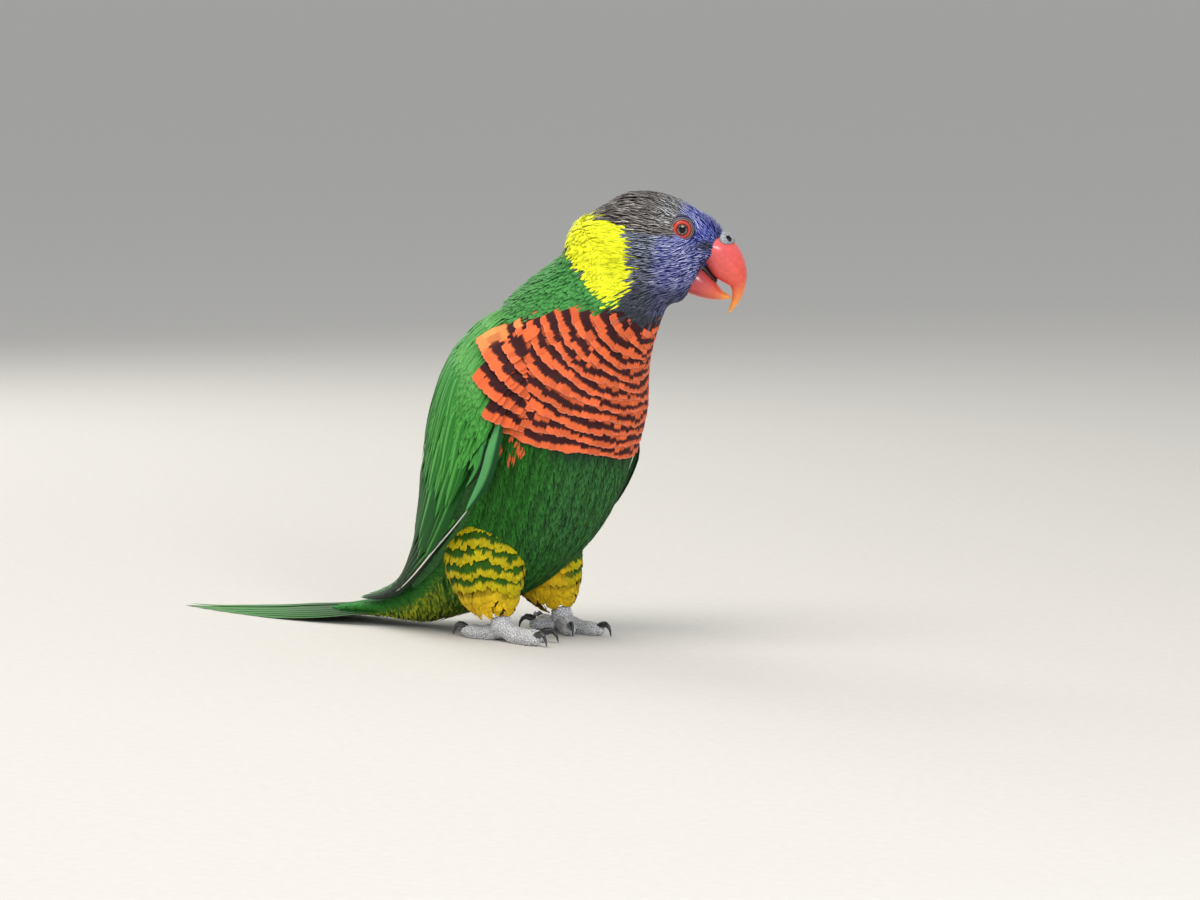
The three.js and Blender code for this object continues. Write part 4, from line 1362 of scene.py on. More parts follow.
def lay_coat(name, sheet, levels, spacing, size, lift, form, keep, rng, turn=0.14):
    """A coat of small feathers in rows; size gives lengths and half widths at their ends."""
    tips = rows_of_tips(sheet, levels, spacing, rng, 0.35)
    tips = tips + sheet.at(sheet.flow, tips) * rng.normal(0, 0.45, (len(tips), 1))
    ends = sheet.at(sheet.points, tips)
    kept = keep(ends)
    tips, ends = tips[kept], ends[kept]
    count = len(tips)
    lengths, half_widths = size(ends)
    lengths = lengths * (1 + 0.12 * rng.standard_normal(count))
    half_widths = half_widths * (1 + 0.15 * rng.standard_normal(count))
    paths = laid(sheet, tips, lengths, rng.normal(0, turn, count), form["stations"])
    rise = np.interp(form["stations"], [0, 0.5, 1], [-0.3, 0.6, 1])
    top = lift(ends) * (1 + 0.12 * rng.standard_normal(count))
    vanes = Vanes()
    heights = rise[None] * top[:, None]
    vanes.add(sheet, paths, half_widths, heights, form, coat_paint(ends, rng), rng)
    made = build_vanes(name, vanes)
    print(f"{name}: {count} feathers")
    return made


BODY_PITCH = 1.25  # mm between the rows
BODY_SPACING = 0.78  # mm between neighbours in a row
BODY_LENGTH = 7.5
BODY_HALF_WIDTH = 0.5
BODY_LIFT = 0.65
NECK_PITCH = 1.0
NECK_SPACING = 0.8
NECK_LENGTH = 7.0
NECK_HALF_WIDTH = 0.5
NECK_FROM = 108  # distance along the spine where the smaller neck feathers take over


def body_part(low_angle, high_angle):
    def keep(ends):
        _, _, inside, distance, from_belly = breast_places(ends)
        kept = ~inside & (distance <= NECK_FROM) & ~under_wing(distance, from_belly)
        return kept & (from_belly >= low_angle) & (from_belly < high_angle)

    return keep


for number, (part, low_angle, high_angle) in enumerate(
    (("belly_feathers", 0, 62), ("flank_feathers", 62, 118), ("back_feathers", 118, 181))
):
    made = lay_coat(
        part,
        trunk_sheet,
        np.arange(16, 190, BODY_PITCH),
        lambda level: BODY_SPACING,
        lambda ends: (np.full(len(ends), BODY_LENGTH), np.full(len(ends), BODY_HALF_WIDTH)),
        lambda ends: np.full(len(ends), BODY_LIFT),
        soft_form,
        body_part(low_angle, high_angle),
        np.random.default_rng(21 + number),
    )
    finish_piece(made, plain_plumage)


def on_neck(ends):
    _, _, inside, distance, _ = breast_places(ends)
    far = np.linalg.norm(ends - HEAD_CENTRE, axis=1) > 20
    return ~inside & (distance > NECK_FROM) & far


neck_form = dict(
    soft_form,
    outline=lambda t: (0.6 + 0.4 * smoothstep(t, 0, 0.4)) * (1 - 0.6 * smoothstep(t, 0.65, 1)),
    ragged=0.18,
)
neck_coat = lay_coat(
    "neck_feathers",
    trunk_sheet,
    np.arange(5, 46, NECK_PITCH),
    lambda level: NECK_SPACING,
    lambda ends: (np.full(len(ends), NECK_LENGTH), np.full(len(ends), NECK_HALF_WIDTH)),
    lambda ends: 0.8 + 1.1 * smoothstep(trunk_places(ends)[1], 90, 150),
    neck_form,
    on_neck,
    np.random.default_rng(25),
)
finish_piece(neck_coat, head_plumage)

# %% Head feathers
head_form = dict(soft_form, round=0.1, arch=0.25, ragged=0.1)
HEAD_LEVELS = [3.0]
while HEAD_LEVELS[-1] < 58:
    HEAD_LEVELS.append(HEAD_LEVELS[-1] + 0.6 + 0.009 * HEAD_LEVELS[-1])
EYE_BARE = 3.95  # radius of the bare skin round an eye, in mm
HEAD_FEATHER_REACH = 25.5


def head_size(ends):
    grown = smoothstep(np.linalg.norm(ends - BILL_MIDDLE, axis=1), 6, 44)
    forward, _, up = head_places(ends)
    room = 1.3 + 0.9 * np.maximum(face_edge(up) - forward, 0)
    return np.minimum(2.6 + 4.6 * grown, room), 0.27 + 0.22 * grown


def head_lift(ends):
    """Flat on the face, a little fuller behind, and fullest on the brow over the bill."""
    from_bill = np.linalg.norm(ends - BILL_ROOT, axis=1)
    from_brow = np.linalg.norm(ends - BROW, axis=1)
    return 0.35 + 0.6 * smoothstep(from_bill, 5, 40) + 1.3 * (1 - smoothstep(from_brow, 2, 9))


def on_head(ends):
    kept = np.linalg.norm(ends - HEAD_CENTRE, axis=1) < HEAD_FEATHER_REACH
    forward, _, up = head_places(ends)
    kept &= forward < face_edge(up) + 0.2
    for side in (-1, 1):
        eye = eye_middle(side) + eye_gaze(side) * 3.3
        kept &= np.linalg.norm(ends - eye, axis=1) > EYE_BARE
    return kept


head_coat = lay_coat(
    "head_feathers",
    head_sheet,
    HEAD_LEVELS,
    lambda level: 0.62 + 0.007 * level,
    head_size,
    head_lift,
    head_form,
    on_head,
    np.random.default_rng(27),
    turn=0.12,
)
finish_piece(head_coat, head_plumage)

# %% [markdown]
# ## Thighs
# Parakeet thighs are trousers of loose feathers that hide the leg down to its ankle. In the photograph
# each row is yellow with a dark green base, about 4 mm apart, and the inner side is a plain fluff of
# warm yellow. The leg has no spine in the trunk's sense, so it gets a sheet of its own, laid round the
# leg from the groin to the ankle.

# %% Thigh sheets and feathers
THIGH_SECTIONS = [
    # share of the way down: x, height, half depth, half width
    [0, -14, 42, 7, 6],
    [0.18, -11, 35, 12, 10],
    [0.45, -8, 25, 13.5, 11],
    [0.72, -5, 15.5, 10.5, 8.5],
    [0.92, -2.5, 9.6, 6, 5],
    [1, -1.8, 8, 3.6, 3.2],
]
LEG_SIDE = 16.5  # mm from the middle to a leg
THIGH_ROWS = np.linspace(0, 1, 40)
THIGH_COLUMNS = 60
THIGH_PITCH = 4.4
THIGH_FEATHER = 9.0
thigh_form = {
    "stations": [0, 0.3, 0.5, 0.68, 0.8, 0.9, 0.96, 1],
    "columns": 5,
    "outline": lambda t: (0.45 + 0.55 * smoothstep(t, 0, 0.4)) * (1 - 0.6 * smoothstep(t, 0.7, 1)),
    "round": 0.08,
    "arch": 0.1,
    "ragged": 0.14,
    "tilt": 0,
}


def thigh_sheet(side):
    share, angle = np.meshgrid(
        THIGH_ROWS, np.linspace(0, 2 * math.pi, THIGH_COLUMNS, endpoint=False), indexing="ij"
    )
    x, z, depth, half_width = np.moveaxis(smooth(THIGH_SECTIONS, share), -1, 0)
    shrink = 1.6 * (1 - 0.5 * share)
    depth, half_width = depth - shrink, half_width - shrink
    y = side * (LEG_SIDE - 2 * (1 - share)) + half_width * np.sin(angle)
    points = np.stack([x + depth * np.cos(angle), y, z + 0.35 * depth * np.cos(angle)], -1)
    wave = 0.8 * np.sin(3 * angle + side) + 0.5 * np.sin(5 * angle)
    return Sheet(points, 50 - points[..., 2] + wave, True)


rng = np.random.default_rng(31)
thighs = Vanes()
for side in (-1, 1):
    sheet = thigh_sheet(side)
    for level in [*np.arange(12, 36, THIGH_PITCH), 37.5, 39, 40.3, 41.5]:
        tips = np.vstack([rows_of_tips(sheet, [level], lambda level: 1.5, rng, 0.4) for _ in (0, 1)])
        count = len(tips)
        tips = tips + sheet.at(sheet.flow, tips) * rng.normal(0, 0.4, (count, 1))
        low = smoothstep(level, 34, 40)
        lengths = (THIGH_FEATHER - 3.5 * low) * (1 + 0.08 * rng.standard_normal(count))
        paths = laid(sheet, tips, lengths, rng.normal(0, 0.17, count), thigh_form["stations"])
        ends = sheet.at(sheet.points, tips)
        out = (ends[:, 1] - side * LEG_SIDE) * side
        inner = np.maximum(1 - smoothstep(out + 0.35 * ends[:, 0], -4.5, -1), low)
        shade = np.clip(1 + 0.12 * rng.standard_normal(count), 0.7, 1.3)[:, None]
        paint = blank_paint(count)
        paint["root_colour"] = mixed(COLOURS["thigh"], COLOURS["inner thigh"], inner) * shade
        paint["tip_colour"] = mixed(COLOURS["thigh end"], COLOURS["inner thigh end"], inner) * shade
        yellow = 0.52 + 0.08 * rng.standard_normal(count) + 0.06 * math.sin(level)
        paint["bar_at"] = 1 - THIGH_PITCH / lengths * yellow
        lift = np.interp(thigh_form["stations"], [0, 0.5, 1], [-0.5, 0.9, 1.6])
        widths = (1.25 - 0.45 * low) * (1 + 0.2 * rng.standard_normal(count))
        thighs.add(sheet, paths, widths, lift, thigh_form, paint, rng)
thigh_coat = build_vanes("thigh_feathers", thighs)
# loose keratin: very ragged where green turns yellow, so that the bars look fluffy
thigh_plumage = plumage("loose feather keratin", 0.06, 0.3)
finish_piece(thigh_coat, thigh_plumage)
print(f"thighs: {thighs.count()} feathers")

# %% [markdown]
# ## Wings
# A folded wing is a stack of fans: small coverts over the shoulder, then median and greater coverts,
# then the secondaries, and last the primaries, whose tips reach over the root of the tail. Each row is
# given by the root and tip of its first and last feather, as in the solids, but with more and thinner
# feathers. A lofted bed under them carries the rows and closes the wing towards the body.

# %% The cloak that the wings follow
CLOAK_SECTIONS = [
    # distance along the spine: height over the spine, half width, thickness of the wing
    [-40, 4.4, 8, 1.2],
    [-28, 5.2, 9.6, 1.4],
    [-16, 6.4, 12, 1.6],
    [0, 10, 15.5, 2.2],
    [16, 16.8, 20.5, 3.6],
    [37, 26, 27.5, 8],
    [60, 32.8, 32.5, 11],
    [84, 34, 34.5, 12],
    [101, 30.5, 32.5, 12],
    [112, 26.5, 28.5, 9],
]
WING_SPREAD = {"left": 1.13, "right": 1.0}
CLOAK_STEP = 2.0
CLOAK_ROWS = np.arange(-44, 122, CLOAK_STEP)
CLOAK_TURN = 4.0
CLOAK_ANGLES = np.arange(-32, 140, CLOAK_TURN)


def cloak_point(distance, angle, lift=0.0):
    section = smooth(CLOAK_SECTIONS, distance)
    high, wide = section[..., 0] + lift, section[..., 1] + lift
    return section_point(distance, angle, high, high, wide)


cloak_distance, cloak_angle = np.meshgrid(CLOAK_ROWS, CLOAK_ANGLES, indexing="ij")
cloak = Sheet(cloak_point(cloak_distance, cloak_angle), -cloak_distance, False)


def cloak_place(distance, angle):
    distance, angle = np.broadcast_arrays(distance, angle)
    return np.stack(
        [(distance - CLOAK_ROWS[0]) / CLOAK_STEP, (angle - CLOAK_ANGLES[0]) / CLOAK_TURN], -1
    )


# %% Rows of wing feathers
WING_ROWS = {
    # number, roots and tips of the first and the last feather as distance and angle, how far the
    # middle tips reach beyond, half width, lift, share that narrows to the point, sharpness
    "primary": [10, (46, 92), (50, 36), (-14, 52), (14, 11), 12, 3.2, -0.1, 0.42, 0.9],
    "secondary": [14, (66, 90), (70, 34), (30, 84), (24, 18), 5, 2.5, 0.3, 0.4, 0.8],
    "tertial": [3, (73, 32), (78, 16), (35, 14), (41, 6), 4, 3.6, 0.8, 0.3, 0.55],
    "greater": [20, (82, 89), (86, 24), (52, 87), (56, 18), 6, 2.0, 0.75, 0.6, 0.8],
    "median": [20, (94, 80), (98, 30), (64, 83), (70, 24), 6, 1.7, 1.0, 0.6, 0.8],
    "lesser": [18, (101, 62), (105, 38), (78, 72), (82, 30), 4, 1.5, 1.2, 0.6, 0.8],
    "second blade": [1, (85, 94), (85, 94), (61, 95), (61, 95), 0, 1.5, 1.3, 0.6, 0.7],
    "first blade": [1, (91, 100), (91, 100), (54, 100), (54, 100), 0, 2.3, 1.7, 0.6, 0.7],
    # the pale strip along the wing's lower margin is a painted highlight, laid as one thin row of pale
    # feathers
    "painted highlight edge": [1, (57, 100), (57, 100), (2, 72), (2, 72), 0, 0.32, 0.3, 0.3, 0.6],
}
ROW_COLOURS = {
    # inner web, outer web and shaft, then the share of the width where the outer web begins
    "primary": ("#071a06", "#4d9f40", "#0c2a0a", 0.5),
    "secondary": ("#15511a", "#4ba03f", "#184a17", 0.55),
    "tertial": ("#1e6420", "#4fa345", "#184a17", 0.55),
    "greater": ("#226d22", "#52a645", "#1d5320", 0.45),
    "median": ("#2b7a2a", "#58aa4c", "#215a22", 0.45),
    "lesser": ("#358736", "#62b056", "#286328", 0.45),
    "second blade": ("#0b2412", "#3f9344", "#12341f", 0.5),
    "first blade": ("#14451f", "#559e5c", "#173f2a", 0.42),
    # near-white colours of the painted highlight along the wing's edge
    "painted highlight edge": ("#b9bcae", "#e8e8dc", "#8b8f80", 0.3),
}
SMALL_FRONT = [
    # distance: the angle up to which small green feathers show, before orange ones cover them
    [78, 104],
    [85, 96],
    [90, 89],
    [94, 80],
    [99, 73],
    [102, 63],
    [106, 57],
    [114, 52],
]
CAPE_FIRST_ROW = 4  # the breast's ring that first reaches the wing
CAPE_SPACING = 1.9
CAPE_HALF_WIDTH = 1.6
CAPE_LENGTH = 13.0
COVERT_PITCH = 1.1  # mm along the spine between the rows of the smallest coverts
COVERT_SPACING = 0.95
COVERT_LENGTH = 8.5
COVERT_HALF_WIDTH = 0.62
COVERT_LOW = ("#3a8a34", "#4c9f43")  # base and end of a covert down the wing
COVERT_HIGH = ("#549c4c", "#72b866")  # and on the shoulder
COVERT_UNDER_CAPE = 8  # degrees by which they reach on under the barred feathers
BLADE_REACH = 8  # degrees by which the left wing's blades stand further round
BED_SPAN = np.linspace(111, 10, 24)
BED_VOXEL = 1.0
wing_form = {
    "stations": np.linspace(0, 1, 15),
    "columns": 7,
    "round": 0.0,
    "arch": 0.14,
    "ragged": 0.006,
    "cell": True,
}


def tapered(point, sharpness):
    def outline(t):
        taper = np.clip((t - 1 + point) / point, 0, 1)
        full = 0.45 + 0.55 * np.minimum(1, 2.5 * t)
        return np.maximum(full * (1 - taper**2) ** sharpness, 0.02)

    return outline


def bed_rings(spread):
    """Closed rings across the wing bed, for the left side."""
    rings = []
    for distance in BED_SPAN:
        inner, front = smooth(WING_EDGES, distance) * spread
        thickness = smooth(CLOAK_SECTIONS, distance)[2]
        t = np.linspace(0, 1, 14)
        angle = inner + (front - inner) * t
        edge = (2 * t - 1) ** 6
        top = smoothstep(distance, 98, 112)
        outer = cloak_point(np.full(14, distance), angle, -1.4 - 0.3 * thickness * edge - 2.5 * top)
        under = cloak_point(
            np.full(14, distance), angle, -1.6 - thickness + 0.25 * thickness * edge
        )
        rings.append(np.vstack([outer, under[::-1]]))
    return rings


def large_vanes(wing, spread, mirror, rng):
    """The rows of long feathers, from the primaries up to the blades at the wing's bend."""
    for row, values in WING_ROWS.items():
        number, first_root, last_root, first_tip, last_tip = values[:5]
        reach, half_width, lift, point, sharpness = values[5:]
        k = np.linspace(0, 1, number)[:, None]
        root = np.array(first_root) * (1 - k) + np.array(last_root) * k
        tip = np.array(first_tip) * (1 - k) + np.array(last_tip) * k
        tip[:, 0] -= reach * np.sin(math.pi * np.minimum(1, 1.3 * k[:, 0] + 0.12))
        many = number > 10
        tip = tip + rng.normal(0, 1.0, tip.shape) * [2.2, 1] * many
        root[:, 0] += rng.normal(0, 1.2, number) * many
        t = np.asarray(wing_form["stations"])[None, :, None]
        track = root[:, None] * (1 - t) + tip[:, None] * t
        if "blade" in row:
            track[..., 1] += 5 * np.sin(math.pi * t[..., 0]) + (0 if mirror else BLADE_REACH)
        paths = cloak_place(track[..., 0], track[..., 1] * spread)
        rise = -2.2 + (lift + 2.2) * smoothstep(wing_form["stations"], 0, 0.45)
        order = np.linspace(0, 0.35, number)[:, None]
        order = order + rng.normal(0, 0.12, (number, 1)) * many
        form = dict(wing_form, outline=tapered(point, sharpness), tilt=-0.05)
        base, end, shaft, bar_at = ROW_COLOURS[row]
        shade = np.clip(1 + 0.08 * rng.standard_normal(number), 0.8, 1.2)[:, None]
        paint = blank_paint(number)
        paint["root_colour"] = linear(base) * shade
        paint["tip_colour"] = linear(end) * shade
        paint["shaft_colour"] = np.tile(linear(shaft), (number, 1))
        paint["shaft_strength"] = np.full(number, 0.5)
        paint["bar_at"] = np.full(number, bar_at)
        heights = rise[None] + order - 0.2
        wing.add(cloak, paths, np.full(number, half_width), heights, form, paint, rng, mirror)


def small_vanes(wing, spread, mirror, rng):
    """The smallest coverts, over the shoulder."""
    for number, distance in enumerate(np.arange(112, 72, -COVERT_PITCH)):
        inner = smooth(WING_EDGES, distance)[0] * spread
        under_cape = COVERT_UNDER_CAPE * smoothstep(distance, 84, 90)
        front = (between(SMALL_FRONT, distance) + under_cape) * spread
        step = math.degrees(COVERT_SPACING / smooth(CLOAK_SECTIONS, distance)[1])
        angles = np.arange(inner - 3 + (number % 2) * step / 2, front, step)
        count = len(angles)
        angles = angles + rng.normal(0, 0.2, count) * step
        fade = smoothstep(distance, 74, 92)
        angles = angles[rng.random(count) < 0.25 + 0.75 * fade]
        count = len(angles)
        starts = cloak_place(distance - 7 + rng.normal(0, 0.5, count), angles)
        lengths = COVERT_LENGTH * (1 + 0.12 * rng.standard_normal(count))
        paths = laid(cloak, starts, lengths, rng.normal(0, 0.1, count), soft_form["stations"])
        paint = blank_paint(count)
        shade = np.clip(1 + 0.1 * rng.standard_normal(count), 0.7, 1.3)[:, None]
        high = smoothstep(distance, 84, 108)
        root_colour = mixed(linear(COVERT_LOW[0]), linear(COVERT_HIGH[0]), high)
        tip_colour = mixed(linear(COVERT_LOW[1]), linear(COVERT_HIGH[1]), high)
        paint["root_colour"] = np.tile(root_colour, (count, 1)) * shade
        paint["tip_colour"] = np.tile(tip_colour, (count, 1)) * shade
        paint["bar_at"] = np.full(count, 0.65)
        lift = np.interp(soft_form["stations"], [0, 0.5, 1], [-0.2, 0.8, 1.1])
        lift = lift - 2 * smoothstep(distance, 99, 112)
        widths = COVERT_HALF_WIDTH * (1 + 0.15 * rng.standard_normal(count))
        wing.add(cloak, paths, widths, lift, soft_form, paint, rng, mirror)


def overlapping_breast(coat, spread, mirror, rng):
    """Barred feathers that lap over the bend of the wing, in the same rings as the breast's."""
    points = cloak.points * np.array([1, -1 if mirror else 1, 1])
    cape = Sheet(points, ring_of(points), False, -1 if mirror else 1)
    for row in range(CAPE_FIRST_ROW, BREAST_ROWS):
        edge_at = FIRST_EDGE + BAND * row
        tips = rows_of_tips(cape, [edge_at], lambda level: CAPE_SPACING, rng, 0.25)
        count = len(tips)
        lengths = CAPE_LENGTH * (1 + 0.08 * rng.standard_normal(count))
        paths = laid(cape, tips, lengths, rng.normal(0, 0.1, count), breast_form["stations"])
        distance = CLOAK_ROWS[0] + tips[:, 0] * CLOAK_STEP
        angle = (CLOAK_ANGLES[0] + tips[:, 1] * CLOAK_TURN) / spread
        kept = (angle > between(SMALL_FRONT, distance) - 2) & (distance > 84)
        kept = kept & (angle < 116) & (distance < 107)
        paths, lengths, angle = paths[kept], lengths[kept], angle[kept]
        count = len(paths)
        paint = breast_paint(cape, tips[kept], lengths, 180 - angle, rng)
        orange = mixed(COLOURS["shoulder"], COLOURS["breast"], smoothstep(angle, 60, 80))
        paint["root_colour"] = mixed(orange, COLOURS["bar"], smoothstep(angle, 62, 76))
        paint["tip_colour"] = np.clip(orange * rng.uniform(0.78, 1.18, (count, 1)), 0, 1)
        along = (CLOAK_ANGLES[0] + paths[..., 1] * CLOAK_TURN) / spread
        rise = np.interp(breast_form["stations"], [0, 0.5, 1], [-1.8, 0.9, 1.8])[None]
        high = CLOAK_ROWS[0] + paths[..., 0] * CLOAK_STEP
        heights = rise - 4.8 * smoothstep(along, 94, 116) - 2 * smoothstep(high, 99, 112)
        widths = CAPE_HALF_WIDTH * (1 + 0.15 * rng.standard_normal(count))
        coat.add(cape, paths, widths, heights, breast_form, paint, rng)


# flight keratin: firmer and smoother than the coat, with a dark inner web and a green outer one
flight_plumage = plumage(
    "flight feather keratin", 0.14, 0.12, streak_width=0.02, across=True, roughness=0.5
)
for side_name, mirror in (("left", False), ("right", True)):
    spread = WING_SPREAD[side_name]
    rng = np.random.default_rng(41 + mirror)
    flip = np.array([1, -1 if mirror else 1, 1])
    bed = bmesh.new()
    loft(bed, [ring * flip for ring in bed_rings(spread)])
    bed_object = melted(f"wing_bed_{side_name}", bed, BED_VOXEL, 4)
    one_colour(bed_object, "coat", "#2f7a2c")
    finish_piece(bed_object, skin_material, (f"wing_{side_name}",))
    wing = Vanes()
    large_vanes(wing, spread, mirror, rng)
    finish_piece(build_vanes(f"wing_vanes_{side_name}", wing), flight_plumage)
    wing = Vanes()
    small_vanes(wing, spread, mirror, rng)
    finish_piece(build_vanes(f"shoulder_feathers_{side_name}", wing), plain_plumage)
    lap = Vanes()
    overlapping_breast(lap, spread, mirror, rng)
    finish_piece(build_vanes(f"cape_feathers_{side_name}", lap), barred_plumage)
    print(f"{side_name} wing: {wing.count()} small feathers, {lap.count()} barred ones over its bend")

# %% [markdown]
# ## Tail
# Twelve stiff feathers lie over each other, the middle pair longest and on top. They are laid flat
# behind the bird, because it stands on a floor.

# %% Tail feathers
TAIL_FEATHERS = [
    # from the middle out: length, and how far out its tip and its root lie
    [100, 1.1, 1.2],
    [92, 3.8, 2.6],
    [84, 6.2, 3.7],
    [75, 8.2, 4.7],
    [67, 9.9, 5.6],
    [59, 11.3, 6.4],
]
TAIL_UNDERSIDE = [[0, 6.4], [12, 4.4], [24, 2.5], [40, 0.8], [56, -0.15], [110, -0.15]]
TAIL_ROOT = -47.5  # x where the tail's feathers start
TAIL_HALF_WIDTH = 4.6
TAIL_STEP = 2.0
TAIL_FLAT = 0.45  # mm by which the undersides clear the floor

tail_x, tail_y = np.meshgrid(
    np.arange(TAIL_ROOT - 112, TAIL_ROOT + 2, TAIL_STEP),
    np.arange(-18, 18.5, TAIL_STEP),
    indexing="ij",
)
tail_height = between(TAIL_UNDERSIDE, TAIL_ROOT - tail_x) + TAIL_FLAT
tail_sheet = Sheet(np.stack([tail_x, tail_y, tail_height], -1), -tail_x, False)
tail_form = {
    "stations": np.linspace(0, 1, 23),
    "columns": 11,
    "outline": tapered(0.55, 0.8),
    "round": 0.0,
    "arch": 0.12,
    "ragged": 0.004,
    "cell": True,
}
rng = np.random.default_rng(51)
tail = Vanes()
for order in range(len(TAIL_FEATHERS) - 1, -1, -1):
    length, tip_side, root_side = TAIL_FEATHERS[order]
    for side in (-1, 1):
        t = np.asarray(tail_form["stations"])
        back = t * length
        aside = side * (root_side + (tip_side - root_side) * t**0.8)
        outer = TAIL_FEATHERS[order + 1 :]
        stack = 0 * t + sum(0.55 * (1 - smoothstep(back, o[0] - 16, o[0])) for o in outer)
        if order == 0 and side > 0:
            stack = stack + 0.35
        places = [(TAIL_ROOT - back - tail_x[0, 0]) / TAIL_STEP, (aside - tail_y[0, 0]) / TAIL_STEP]
        paint = blank_paint(1)
        paint["root_colour"] = linear("#1d4f20")[None]
        paint["tip_colour"] = linear("#3f8038")[None]
        paint["shaft_colour"] = linear("#0f2a10")[None]
        paint["shaft_strength"] = np.full(1, 0.8)
        paint["bar_at"] = np.full(1, 0.5)
        width = np.full(1, TAIL_HALF_WIDTH * (1 - 0.15 * order / 5))
        form = dict(tail_form, tilt=0.05 * side)
        tail.add(tail_sheet, np.stack(places, -1)[None], width, stack[None], form, paint, rng)
tail_coat = build_vanes("tail_vanes", tail)
# tail keratin: as firm as the wing's, dark at the root and paler to the end
tail_plumage = plumage("tail feather keratin", 0.25, 0.2, streak_width=0.02, roughness=0.5)
finish_piece(tail_coat, tail_plumage, ("tail",))

# %% [markdown]
# ## Bill and cere
# The bill is bone under a thin polished horn. Each half is lofted through oval sections that bend
# along its curve, and its root lies under the feathers of the face. Its colour runs from a pale root
# through coral red to a yellow tip.

# %% Bill and cere
def surface_material(name, colour_name, roughness, coat, noise_scale, noise_share, bump):
    """Horn or skin that takes its colour from an attribute, with fine mottling and bump."""
    material, tree, shader = new_material(name)
    colour = add_node(tree, "ShaderNodeAttribute", attribute_name=colour_name).outputs["Color"]
    noise = mottling(tree, noise_scale, 4.0)
    inputs = {"Value": noise, "From Min": 0.3, "From Max": 0.7}
    inputs |= {"To Min": 1 - noise_share, "To Max": 1.05}
    level = add_node(tree, "ShaderNodeMapRange", inputs).outputs[0]
    grey = add_node(tree, "ShaderNodeCombineColor", {i: level for i in range(3)}).outputs[0]
    mottled = mix_of(tree, "MULTIPLY", 1.0, colour, grey)
    tree.links.new(mottled, shader.inputs["Base Color"])
    add_relief(tree, shader, noise, 0.5, bump)
    shader.inputs["Roughness"].default_value = roughness
    shader.inputs["Coat Weight"].default_value = coat
    shader.inputs["IOR"].default_value = 1.54
    return material


def blended(places, rows):
    """Colours along rows of (place, hex colour)."""
    at = [row[0] for row in rows]
    values = np.array([linear(row[1]) for row in rows])
    return np.stack([np.interp(places, at, values[:, k]) for k in range(3)], -1)


UPPER_HORN = [
    (0, "#f0bab4"),
    (3, "#ea7c78"),
    (8, "#e55a5a"),
    (17, "#e95a44"),
    (22, "#f4953f"),
    (27, "#f8c65c"),
]
LOWER_HORN = [
    (0, "#a83a40"),
    (7, "#c74a4a"),
    (11, "#e06644"),
    (14, "#f2a04a"),
    (16, "#f6bd55"),
]
BILL_ROWS = {
    # along: ridge forward and up, cutting edge forward and up, half width
    "bill_upper": [
        [0, 18.5, 9, 14, 0.5, 6.8],
        [0.18, 25.6, 8, 18.7, -0.8, 6.6],
        [0.36, 29.8, 5.2, 22.6, -4.6, 5.6],
        [0.55, 32.8, -0.2, 26.4, -6.5, 4.5],
        [0.7, 33.6, -5.2, 28.7, -7.5, 3.2],
        [0.85, 32.8, -10.6, 29.7, -10.2, 1.7],
        [0.95, 31, -14.2, 29.5, -13.5, 0.9],
        [1, 29.6, -16.2, 29.1, -15.8, 0.35],
    ],
    "bill_lower": [
        [0, 15, -1.8, 11.5, -10.6, 5.8],
        [0.3, 19.6, -2.5, 16.5, -11.8, 5.7],
        [0.55, 23.5, -6.2, 21.3, -12.5, 4.6],
        [0.8, 26.4, -9, 25.7, -12.3, 3.2],
        [0.95, 28.6, -10, 28.6, -11.6, 1.8],
        [1, 29.3, -10.4, 29.4, -11, 0.9],
    ],
    "mouth": [
        # the dark hollow seen between the two when they are a little open, a near-black piece of painted
        # shadow
        [0, 13, 0, 13, -4, 4.6],
        [0.5, 19.6, -1, 19, -4.2, 3.9],
        [0.8, 22.8, -4.2, 22.4, -6.4, 2.8],
        [1, 24.4, -5.8, 24.2, -7, 1.6],
    ],
}
BILL_RINGS = 40
BILL_SIDES = 40
BILL_VOXEL = 0.3
CERE_VOXEL = 0.2
CERE_SPECKS = 0.12  # share of the cere's points that are dark
NOSTRIL_RADIUS = 1.15


def bill_half(name):
    """A loft through oval sections, from the root under the feathers to the tip."""
    turn = np.linspace(0, 2 * math.pi, BILL_SIDES, endpoint=False)
    rings = []
    for ridge_f, ridge_u, edge_f, edge_u, half in smooth(
        BILL_ROWS[name], np.linspace(0, 1, BILL_RINGS)
    ):
        share = 0.5 + 0.5 * np.cos(turn)
        forward, up = edge_f + (ridge_f - edge_f) * share, edge_u + (ridge_u - edge_u) * share
        ring = [head_point(f, half * math.sin(a), u) for f, a, u in zip(forward, turn, up)]
        rings.append(np.array(ring))
    bm = bmesh.new()
    loft(bm, rings)
    return bm


# bill horn: worn smooth, so it catches a soft highlight along the ridge
horn = surface_material("polished bill horn", "horn", 0.3, 0.2, 700.0, 0.14, 0.08)
# mouth lining: near black as painted shadow, and damp, which makes the gap between the halves look deep
mouth_shadow = surface_material("moist mouth lining in painted shadow", "horn", 0.4, 0.2, 900.0, 0.3, 0.1)
for name, root_point, rows in (
    ("bill_upper", head_point(19.5, 0, 6), UPPER_HORN),
    ("bill_lower", head_point(15.5, 0, -6), LOWER_HORN),
    # the mouth's near-black colours are painted shadow
    ("mouth", HEAD_CENTRE, [(0, "#1a1012"), (40, "#241416")]),
):
    bill = melted(f"{name}_surface", bill_half(name), BILL_VOXEL, 3)
    from_root = np.linalg.norm(points_of(bill) - root_point, axis=1)
    colour_points(bill, "horn", blended(from_root, rows))
    if name == "mouth":
        finish_piece(bill, mouth_shadow)
    else:
        finish_piece(bill, horn, (name,))

